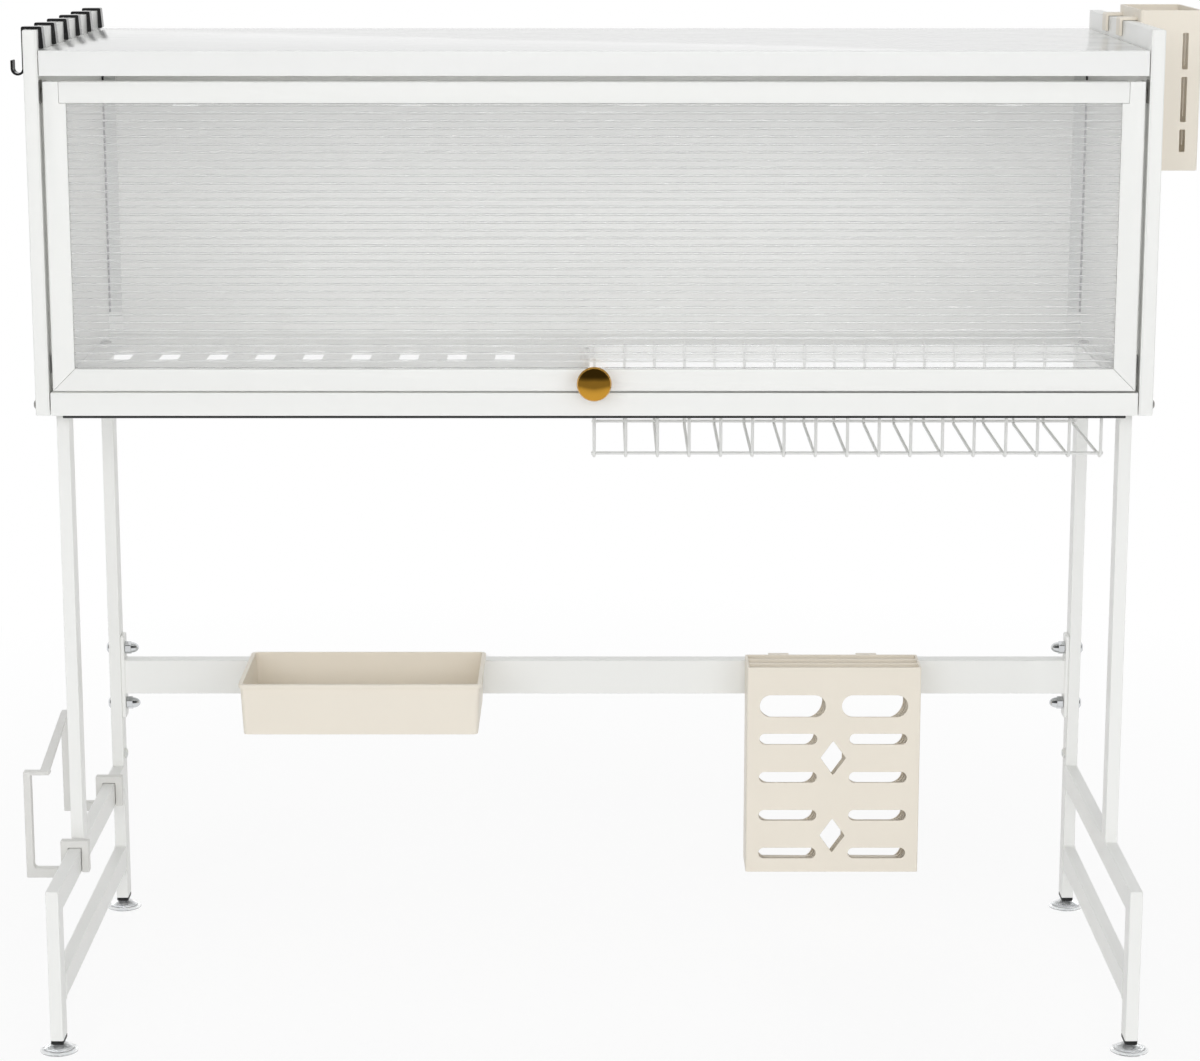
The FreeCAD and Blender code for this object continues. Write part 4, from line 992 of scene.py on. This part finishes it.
class Basket(RackStep):
    """Bends the round wires of the basket"""
    bl_idname = "dish_rack.basket"
    bl_label = "Wire basket"

    def build(self):
        given = sizes()
        tree = wire_tree(coated_wire)
        thin = given.wire / 2
        low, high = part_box("basket_cross_wires")
        rim_low, rim_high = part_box("basket_rim")
        floor_low, floor_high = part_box("basket_floor_wires")
        thick = given.rim_wire / 2
        reach = (rim_high.y - thick) - (rim_low.y + thick)
        first = Vector((low.x + thin, rim_low.y + thick, high.z - thin))
        floor_depth = 150 * MM
        inset = (reach - floor_depth) / 2
        path = [first, first + ALONG_Y * inset, first + Vector((0, inset, low.z + given.wire - high.z)),
                first + Vector((0, reach - inset, low.z + given.wire - high.z)),
                first + ALONG_Y * (reach - inset), first + ALONG_Y * reach]
        span = high.x - low.x - given.wire
        copies = round(span / given.wire_pitch) + 1
        cross = grown(tree, path_mesh(path), Wire_Diameter=given.wire, Bend_Radius=given.wire_bend,
                      Copies=copies, Step=(span / (copies - 1), 0.0, 0.0))
        piece("cross_wires", smooth(cross, 60), "coated_wire", coated_wire, "basket_cross_wires")
        z = rim_low.z + thick
        ring = [(rim_low.x + thick, rim_low.y + thick, z), (rim_high.x - thick, rim_low.y + thick, z),
                (rim_high.x - thick, rim_high.y - thick, z), (rim_low.x + thick, rim_high.y - thick, z)]
        rim = grown(tree, path_mesh(ring, True), Wire_Diameter=given.rim_wire, Bend_Radius=8 * MM,
                    Copies=1)
        piece("rim_wire", smooth(rim, 60), "coated_wire", coated_wire, "basket_rim")
        z = floor_low.z + thin
        start = Vector((floor_low.x, floor_low.y + thin, z))
        run = path_mesh([start, start + ALONG_X * (floor_high.x - floor_low.x)])
        step = floor_high.y - floor_low.y - given.wire
        runs = grown(tree, run, Wire_Diameter=given.wire, Copies=2, Step=(0.0, step, 0.0))
        piece("floor_wires", smooth(runs, 60), "coated_wire", coated_wire, "basket_floor_wires")


def strap_outline(start, end, seat, thick, drop, bend):
    """Side outline of a strap that runs from its start over a seat, and down behind it at its end."""
    under = seat + REST_GAP
    near = end + thick if start > end else end - thick
    foot = under - drop
    top = under + thick
    return turned_corners([(start, under, 0), (near, under, 0.3 * MM), (near, foot, 0.5 * MM),
                           (end, foot, MM), (end, top, bend), (start, top, 0)])


def strap_solid(side, across):
    """Strap, 18 mm wide, from its side outline."""
    return rounded(prism(side, across * 18 * MM), 0.4 * MM)


def bar_strap(x, back, node):
    """Strap about x, from inside a holder's back wall over the cross bar and down behind it."""
    bar_top = middle_of("cross_bar").z + BAR_TALL / 2
    outline = strap_outline(back - 1.2 * MM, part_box(node)[1].y, bar_top, thick=2.5 * MM, drop=12 * MM,
                            bend=2.2 * MM)
    return strap_solid([Vector((x - 9 * MM, y, z)) for y, z in outline], ALONG_X)


class Tray(RackStep):
    """Moulds the open tray and its straps"""
    bl_idname = "dish_rack.tray"
    bl_label = "Tray"

    def build(self):
        low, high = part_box("caddy_tray")
        back = low.y + 115 * MM
        bead = 1.6 * MM
        wall = 2 * MM
        taper = 2 * MM

        def ring(inset, rear_inset, radius, z):
            corners = rectangle(low.x + inset, high.x - inset, low.y + inset, back - rear_inset, radius)
            return upright(turned_corners(corners, steps=8), z)

        rings = [ring(bead + taper, 0, 4 * MM, low.z), ring(bead, 0, 4 * MM, high.z - 3 * MM),
                 ring(0, 0, 5.4 * MM, high.z - 3 * MM), ring(0, 0, 5.4 * MM, high.z),
                 ring(bead + wall, wall, 3 * MM, high.z),
                 ring(bead + wall + taper, wall, 3 * MM, low.z + wall)]
        body = rounded(closed_solid(rings), sizes().moulded_edge, 3, 40)
        middle = (low.x + high.x) / 2
        straps = [bar_strap(middle + side * 46 * MM, back, "caddy_tray") for side in (-1, 1)]
        piece("moulded_tray", joined([body] + straps), "cream_plastic", cream_abs, "caddy_tray")


class BoardHolder(RackStep):
    """Moulds the board holder's four thin walls with their windows"""
    bl_idname = "dish_rack.board_holder"
    bl_label = "Board holder"

    def build(self):
        low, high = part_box("board_holder")
        back = low.y + 46 * MM
        wall = 2 * MM
        middle = (low.x + high.x) / 2
        outline = turned_corners(rectangle(low.x, high.x, low.y, back, 1.5 * MM), steps=4)
        body = prism(upright(outline, low.z), ALONG_Z * (high.z - low.z))
        pitch = (back - low.y - wall) / 3
        slots = [box_solid((low.x + wall, low.y + wall + step * pitch, low.z + wall),
                           (high.x - wall, low.y + (step + 1) * pitch, high.z + MM)) for step in range(3)]
        cutters = []
        for step in range(4):
            start = low.y - MM if step == 0 else low.y + step * pitch - 2 * MM
            for outline in self.windows(low.x, high.x, high.z, 4.3 * MM * step):
                cutters.append(prism([Vector((x, start, z)) for x, z in outline], ALONG_Y * (wall + 4 * MM)))
        body = cut_by(cut_by(body, slots), cutters)
        body = rounded(body, 0.4 * MM, 2, 40)
        straps = [bar_strap(middle + (side * 38.5 - 6.5) * MM, back, "board_holder") for side in (-1, 1)]
        piece("moulded_board_holder", joined([body] + straps), "cream_plastic", cream_abs, "board_holder")

    def windows(self, left, right, top, lower):
        """Outlines of one wall's windows, which reach lower in the walls further back."""
        found = []
        # Middle's distance from the edge and from the top, width, height and the steps of a round end
        slots = [(39.5, 34.5, 57, 19.5, 10)] + [(36, 64 + 34.3 * row, 50, 9.5, 8) for row in range(4)]
        for edge, inward in ((left, 1), (right, -1)):
            for aside, drop, width, height, steps in slots:
                found.append(round_slot(edge + inward * aside * MM, top - drop * MM - lower / 2,
                                        width * MM, height * MM + lower, steps))
        middle = (left + right) / 2
        half = 11 * MM
        point = 15.5 * MM
        for drop in (81 * MM, 151 * MM):
            z = top - drop
            sides = [(middle - half, z, MM), (middle - half, z - lower, MM),
                     (middle, z - lower - point, MM), (middle + half, z - lower, MM),
                     (middle + half, z, MM), (middle, z + point, MM)]
            found.append(turned_corners(sides if lower else sides[0:1] + sides[2:3] + sides[4:], 3))
        return found


def narrow_slot(x, z, tall):
    """Outline of one upright slot of the utensil holder, with slightly rounded corners."""
    half = 2.25 * MM
    return turned_corners(rectangle(x - half, x + half, z - tall / 2, z + tall / 2, MM), 4)


class UtensilHolder(RackStep):
    """Moulds the deep holder outside the right panel, with its slots and straps"""
    bl_idname = "dish_rack.utensil_holder"
    bl_label = "Utensil holder"

    def build(self):
        low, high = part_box("utensil_holder")
        x0 = high.x - 50 * MM
        wall = 2 * MM
        outline = turned_corners(rectangle(x0, high.x, low.y, high.y, 3 * MM), steps=6)
        inner = turned_corners(rectangle(x0 + wall, high.x - wall, low.y + wall, high.y - wall, 2 * MM),
                               steps=6)
        body = prism(upright(outline, low.z), ALONG_Z * (high.z - low.z))
        hollow = prism(upright(inner, low.z + 2.5 * MM), ALONG_Z * (high.z - low.z))
        across, along = self.openings(x0, low, high)
        body = cut_by(cut_by(cut_by(body, [hollow]), across), along)
        body = rounded(body, 0.4 * MM, 2, 40)
        outline = strap_outline(x0 + wall, low.x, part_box("side_cover_right")[1].z, thick=2.4 * MM,
                                drop=12.5 * MM, bend=1.8 * MM)
        straps = [strap_solid([Vector((x, low.y + place, z)) for x, z in outline], ALONG_Y)
                  for place in (14 * MM, 86 * MM)]
        piece("moulded_utensil_holder", joined([body] + straps), "cream_plastic", cream_abs,
              "utensil_holder")

    def openings(self, x0, low, high):
        """Cutters for the slots in the narrow walls, and for those in the outer wall and the bottom."""
        across = []
        along = []
        for start, tall in ((15 * MM, 18 * MM), (39 * MM, 36 * MM), (81 * MM, 29 * MM)):
            z = low.z + start + tall / 2
            for offset in (14 * MM, 37 * MM):
                slot = narrow_slot(x0 + offset, z, tall)
                across.append(prism([Vector((x, low.y - MM, up)) for x, up in slot],
                                    ALONG_Y * (high.y - low.y + 2 * MM)))
            for offset in (17.5 * MM, 40.5 * MM, 63.5 * MM, 86.5 * MM):
                slot = narrow_slot(low.y + offset, z, tall)
                along.append(prism([Vector((high.x - 4 * MM, y, up)) for y, up in slot], ALONG_X * 5 * MM))
        middle = Vector(((x0 + high.x) / 2, (low.y + high.y) / 2, low.z - MM))
        hole = [(0, 0), (4 * MM, 0), (4 * MM, 6 * MM), (0, 6 * MM)]
        for step in (-1, 0, 1):
            along.append(lathed(hole, middle + ALONG_Y * step * 26 * MM, ALONG_Z, 24))
        return across, along


class Hooks(RackStep):
    """Moulds the six black hooks"""
    bl_idname = "dish_rack.hooks"
    bl_label = "Hooks"

    def build(self):
        for number in range(1, 7):
            node = "hook_%d" % number
            low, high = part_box(node)
            side = [Vector((x, low.y, z)) for x, z in self.outline(low, high)]
            mesh = rounded(prism(side, ALONG_Y * (high.y - low.y)), 0.5 * MM, 3, 40)
            piece("moulded_" + node, mesh, "black_gloss", glossy_black_abs, node)

    def outline(self, low, high):
        """Side of a hook: down inside the panel, over its top, and down to the upturned end."""
        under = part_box("side_cover_left")[1].z + REST_GAP
        foot = under - 15 * MM
        inner = high.x - 3.7 * MM
        strap = 1.8 * MM
        radius = 5.35 * MM
        outer = low.x + 2 * radius
        bend = 1.4 * MM
        turn = Vector((outer - radius, low.z + radius))
        tip = turn.y + 6.5 * MM
        tip_end = 0.85 * MM
        down = [Vector((math.cos(angle), -math.sin(angle)))
                for angle in (math.pi * step / 16 for step in range(1, 16))]
        face = inner + 2.5 * MM
        corners = [(inner, under, 0.3 * MM), (inner, foot, 0.8 * MM), (high.x, foot, bend),
                   (face, under, 0), (face, high.z, bend),
                   (outer - strap, high.z, bend), (outer - strap, turn.y, 0)]
        ends = [(turn.x - radius + strap, turn.y, 0), (turn.x - radius + strap, tip, tip_end),
                (turn.x - radius, tip, tip_end), (turn.x - radius, turn.y, 0)]
        return (turned_corners(corners, closed=False) + [turn + (radius - strap) * way for way in down]
                + turned_corners(ends, closed=False) + [turn + radius * way for way in reversed(down)]
                + [Vector((outer, turn.y)), Vector((outer, under))])


class SideRack(RackStep):
    """Rounds the bent bars of the side rack"""
    bl_idname = "dish_rack.side_rack"
    bl_label = "Side rack"

    def build(self):
        softened_piece("side_rack", 0.9 * MM, "white_coated_bar", coated_flat_bar, 3)


class Feet(RackStep):
    """Moulds the suction cups and the plugs that hold them"""
    bl_idname = "dish_rack.feet"
    bl_label = "Feet"

    def build(self):
        corners = [(0, 4.9, 0), (12.6, 0.3, 0.6), (13.4, 0, 0.2), (15, 0, 0.4), (15, 1.0, 0.4),
                   (12.5, 1.9, 0.8), (11.8, 2.8, 0.5), (4.8, 6.4, 1.2), (4.8, 8, 0), (3.6, 8, 0),
                   (3.6, 15.8, 0.3), (0, 15.8, 0)]
        profile = turned_corners(in_mm(corners), steps=4, closed=False)
        cup = smooth(lathed(profile, Vector(), ALONG_Z, sizes().round_sides), 40)
        low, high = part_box("suction_cups")
        radius = 15 * MM
        places = [(Vector((x, y, 0)), ALONG_Z) for x in (low.x + radius, high.x - radius)
                  for y in (low.y + radius, high.y - radius)]
        repeated_piece("moulded_cups", cup, places, "clear_rubber", soft_clear_vinyl, "suction_cups")
        softened_piece("foot_plugs", 0.4 * MM, "black_plastic", black_polyethylene)


class Fasteners(RackStep):
    """Sets the bolts, dome nuts and screws"""
    bl_idname = "dish_rack.fasteners"
    bl_label = "Fasteners"

    def build(self):
        self.bolts_and_nuts()
        self.panel_screws()
        self.joint_caps()
        self.post_screws()
        softened_piece("post_inserts", 0.3 * MM, "black_plastic", black_polyethylene)

    def bolts_and_nuts(self):
        bar = middle_of("cross_bar")
        from_middle = 25 * MM
        heights = [bar.z - from_middle, bar.z + from_middle]
        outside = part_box("base_frame_right")[1].x
        bolts = [(Vector((x, bar.y, z)), outward(x)) for x in both_sides(outside) for z in heights]
        bolt = screw_part(5 * MM, 3 * MM, 3 * MM, 22 * MM)
        repeated_piece("round_head_bolts", bolt, bolts, "steel", chrome_plate, "cross_bar_bolts")
        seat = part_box("cross_bar")[1].x - BAR_PLATE
        nuts = [(Vector((x, bar.y, z)), -outward(x)) for x in both_sides(seat) for z in heights]
        repeated_piece("domed_nuts", dome_nut_part(), nuts, "chrome", chrome_plate, "dome_nuts")

    def panel_screws(self):
        low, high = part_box("side_cover_right")
        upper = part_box("top_shelf")[1].z - 8 * MM
        lower = low.z + 8 * MM
        rear = low.y + 280 * MM
        places = [(low.y + 7 * MM, lower), (rear, lower), (low.y + 36 * MM, upper), (rear, upper)]
        screws = [(Vector((x, y, z)), outward(x)) for x in both_sides(high.x) for y, z in places]
        screw = screw_part(3.6 * MM, 2.2 * MM, 1.9 * MM, 16 * MM)
        repeated_piece("panel_screws_finished", screw, screws, "steel", zinc_plate, "panel_screws")

    def joint_caps(self):
        middle = middle_of("post_joint_screws")
        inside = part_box("base_frame_right")[0].x
        caps = [(Vector((x, middle.y, middle.z)), -outward(x)) for x in both_sides(inside)]
        cap = screw_part(4.5 * MM, 2.4 * MM, 2 * MM, 2.4 * MM, recess=False)
        repeated_piece("joint_caps", cap, caps, "white_plastic", white_nylon, "post_joint_screws")

    def post_screws(self):
        post = middle_of("front_post_right")
        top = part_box("front_post_right")[1].z + MM
        places = [(Vector((x, y, top)), ALONG_Z) for x in both_sides(post.x)
                  for y in (post.y, middle_of("rear_post_right").y)]
        screw = screw_part(4.5 * MM, 2 * MM, 2.5 * MM, 14 * MM)
        repeated_piece("post_screws_finished", screw, places, "steel", zinc_plate, "post_top_screws")


class Stage(RackStep):
    """Sets the floor, the studio lights and the camera"""
    bl_idname = "dish_rack.stage"
    bl_label = "Studio"

    def build(self):
        self.set_floor()
        self.set_world()
        self.set_lamps()
        self.set_camera()
        bpy.context.scene.view_settings.view_transform = "Standard"

    def set_floor(self):
        """White paper, a little dimmer under the rack, and darker ahead where it is only mirrored."""
        half = 30.0
        mesh = mesh_of([(-half, -half, 0), (half, -half, 0), (half, half, 0), (-half, half, 0)],
                       [[0, 1, 2, 3]])
        obj = bpy.data.objects.new("studio_floor", mesh)
        bpy.context.scene.collection.objects.link(obj)
        material = bpy.data.materials.new("studio_paper")
        material.use_nodes = True
        tree = material.node_tree
        tree.nodes.clear()
        paper = add_node(tree, "ShaderNodeBsdfDiffuse", {"Color": (*linear("FAFAFA"), 1)})
        sides = add_node(tree, "ShaderNodeSeparateXYZ", {"Vector": object_place(tree)}).outputs
        ahead = add_node(tree, "ShaderNodeMapRange", {
            "Value": sides["Y"], "From Min": -0.5, "From Max": -2.0}, interpolation_type="SMOOTHSTEP")
        strength = mirrored_strength(tree, ahead, 0.36)
        white = add_node(tree, "ShaderNodeEmission", {"Color": (1, 1, 1, 1), "Strength": strength})
        away = add_node(tree, "ShaderNodeVectorMath", {0: object_place(tree)}, operation="LENGTH")
        fade = add_node(tree, "ShaderNodeMapRange", {
            "Value": away.outputs["Value"], "From Min": 0.5, "From Max": 1.4, "To Min": 0.88,
            "To Max": 1.0})
        share = add_node(tree, "ShaderNodeMath", {0: seen_rays(tree), 1: fade}, operation="MULTIPLY")
        mix = add_node(tree, "ShaderNodeMixShader", {0: share, 1: paper, 2: white})
        add_node(tree, "ShaderNodeOutputMaterial", {"Surface": mix})
        mesh.materials.append(material)

    def set_world(self):
        """Even soft light. What is mirrored is white too, but for the dark room in front and above."""
        world = bpy.data.worlds.new("studio")
        bpy.context.scene.world = world
        world.use_nodes = True
        tree = world.node_tree
        tree.nodes.clear()
        way = add_node(tree, "ShaderNodeTexCoord").outputs["Generated"]
        sides = add_node(tree, "ShaderNodeSeparateXYZ", {"Vector": way}).outputs
        ahead = add_node(tree, "ShaderNodeMapRange", {
            "Value": sides["Y"], "From Min": -0.2, "From Max": -0.5}, interpolation_type="SMOOTHSTEP")
        above = add_node(tree, "ShaderNodeMapRange", {
            "Value": sides["Z"], "From Min": -0.5, "From Max": 0.3}, interpolation_type="SMOOTHSTEP")
        dark = add_node(tree, "ShaderNodeMath", {0: ahead, 1: above}, operation="MULTIPLY")
        strength = mirrored_strength(tree, dark, 0.05)
        soft = add_node(tree, "ShaderNodeBackground", {"Color": (0.97, 0.985, 1.0, 1), "Strength": 0.46})
        white = add_node(tree, "ShaderNodeBackground", {"Color": (1, 1, 1, 1), "Strength": strength})
        mix = add_node(tree, "ShaderNodeMixShader", {0: seen_rays(tree), 1: soft, 2: white})
        add_node(tree, "ShaderNodeOutputWorld", {"Surface": mix})

    def set_lamps(self):
        target = Vector((0, 0, 0.45))
        # Square soft boxes: place and side in metres, and power in watts
        for name, place, size, watts in (("key", (-2.2, -5.6, 2.1), 2.6, 56),
                                         ("fill", (2.6, -5.5, 1.5), 2.6, 46),
                                         ("front", (0.2, -6.0, 1.9), 1.6, 56),
                                         ("top", (0.1, -0.9, 3.2), 2.4, 10),
                                         ("back", (-0.5, 5.6, 2.2), 2.6, 90)):
            lamp = bpy.data.lights.new(name, "AREA")
            lamp.size = size
            lamp.energy = watts
            obj = bpy.data.objects.new(name + "_light", lamp)
            bpy.context.scene.collection.objects.link(obj)
            # Polished pieces mirror the room, and not the lamps' square faces
            obj.visible_glossy = False
            facing = target - Vector(place)
            obj.matrix_world = (Matrix.Translation(place)
                                @ facing.to_track_quat("-Z", "Y").to_matrix().to_4x4())

    def set_camera(self):
        camera = bpy.data.cameras.new("front")
        camera.lens = 96.0
        camera.sensor_width = 36.0
        below_level = math.radians(11.97)
        obj = bpy.data.objects.new("front_camera", camera)
        bpy.context.scene.collection.objects.link(obj)
        obj.location = (-0.00905, -2.570, 0.9206)
        obj.rotation_euler = (math.pi / 2 - below_level, 0, 0)
        bpy.context.scene.camera = obj


def mirrored_strength(tree, dark, lowest):
    """Full strength, but for mirrored rays it falls to the lowest value where it is dark."""
    path = add_node(tree, "ShaderNodeLightPath").outputs
    mirrored = add_node(tree, "ShaderNodeMath", {0: dark, 1: path["Is Glossy Ray"]}, operation="MULTIPLY")
    return add_node(tree, "ShaderNodeMapRange", {
        "Value": mirrored, "To Min": 1.0, "To Max": lowest}).outputs["Result"]


def seen_rays(tree):
    """1 for the rays that show the background: direct, mirrored and through clear plastic."""
    path = add_node(tree, "ShaderNodeLightPath").outputs
    first = add_node(tree, "ShaderNodeMath", {
        0: path["Is Camera Ray"], 1: path["Is Glossy Ray"]}, operation="MAXIMUM")
    return add_node(tree, "ShaderNodeMath", {
        0: first, 1: path["Is Transmission Ray"]}, operation="MAXIMUM").outputs[0]


STEPS = (Tubes, Welds, Cabinet, Edging, DoorFrame, DoorPanel, Knob, Basket, Tray, BoardHolder, UtensilHolder,
         Hooks, SideRack, Feet, Fasteners, Stage)


class RackPanel(bpy.types.Panel):
    """Lists the steps and the sizes and colours that they use"""
    bl_idname = "VIEW3D_PT_dish_rack"
    bl_label = "Dish rack"
    bl_space_type = "VIEW_3D"
    bl_region_type = "UI"
    bl_category = "Dish rack"

    def draw(self, context):
        layout = self.layout
        for group in (context.scene.dish_rack_sizes, context.scene.dish_rack_colours):
            for name in group.__annotations__:
                layout.prop(group, name)
        for step in STEPS:
            layout.operator(step.bl_idname)


CLASSES = (RackSizes, RackColours) + STEPS + (RackPanel,)


def register():
    for item in CLASSES:
        bpy.utils.register_class(item)
    bpy.types.Scene.dish_rack_sizes = PointerProperty(type=RackSizes)
    bpy.types.Scene.dish_rack_colours = PointerProperty(type=RackColours)


def unregister():
    del bpy.types.Scene.dish_rack_colours
    del bpy.types.Scene.dish_rack_sizes
    for item in reversed(CLASSES):
        bpy.utils.unregister_class(item)


def main():
    register()
    for step in STEPS:
        getattr(bpy.ops.dish_rack, step.bl_idname.split(".")[1])()


if __name__ == "__main__":
    main()
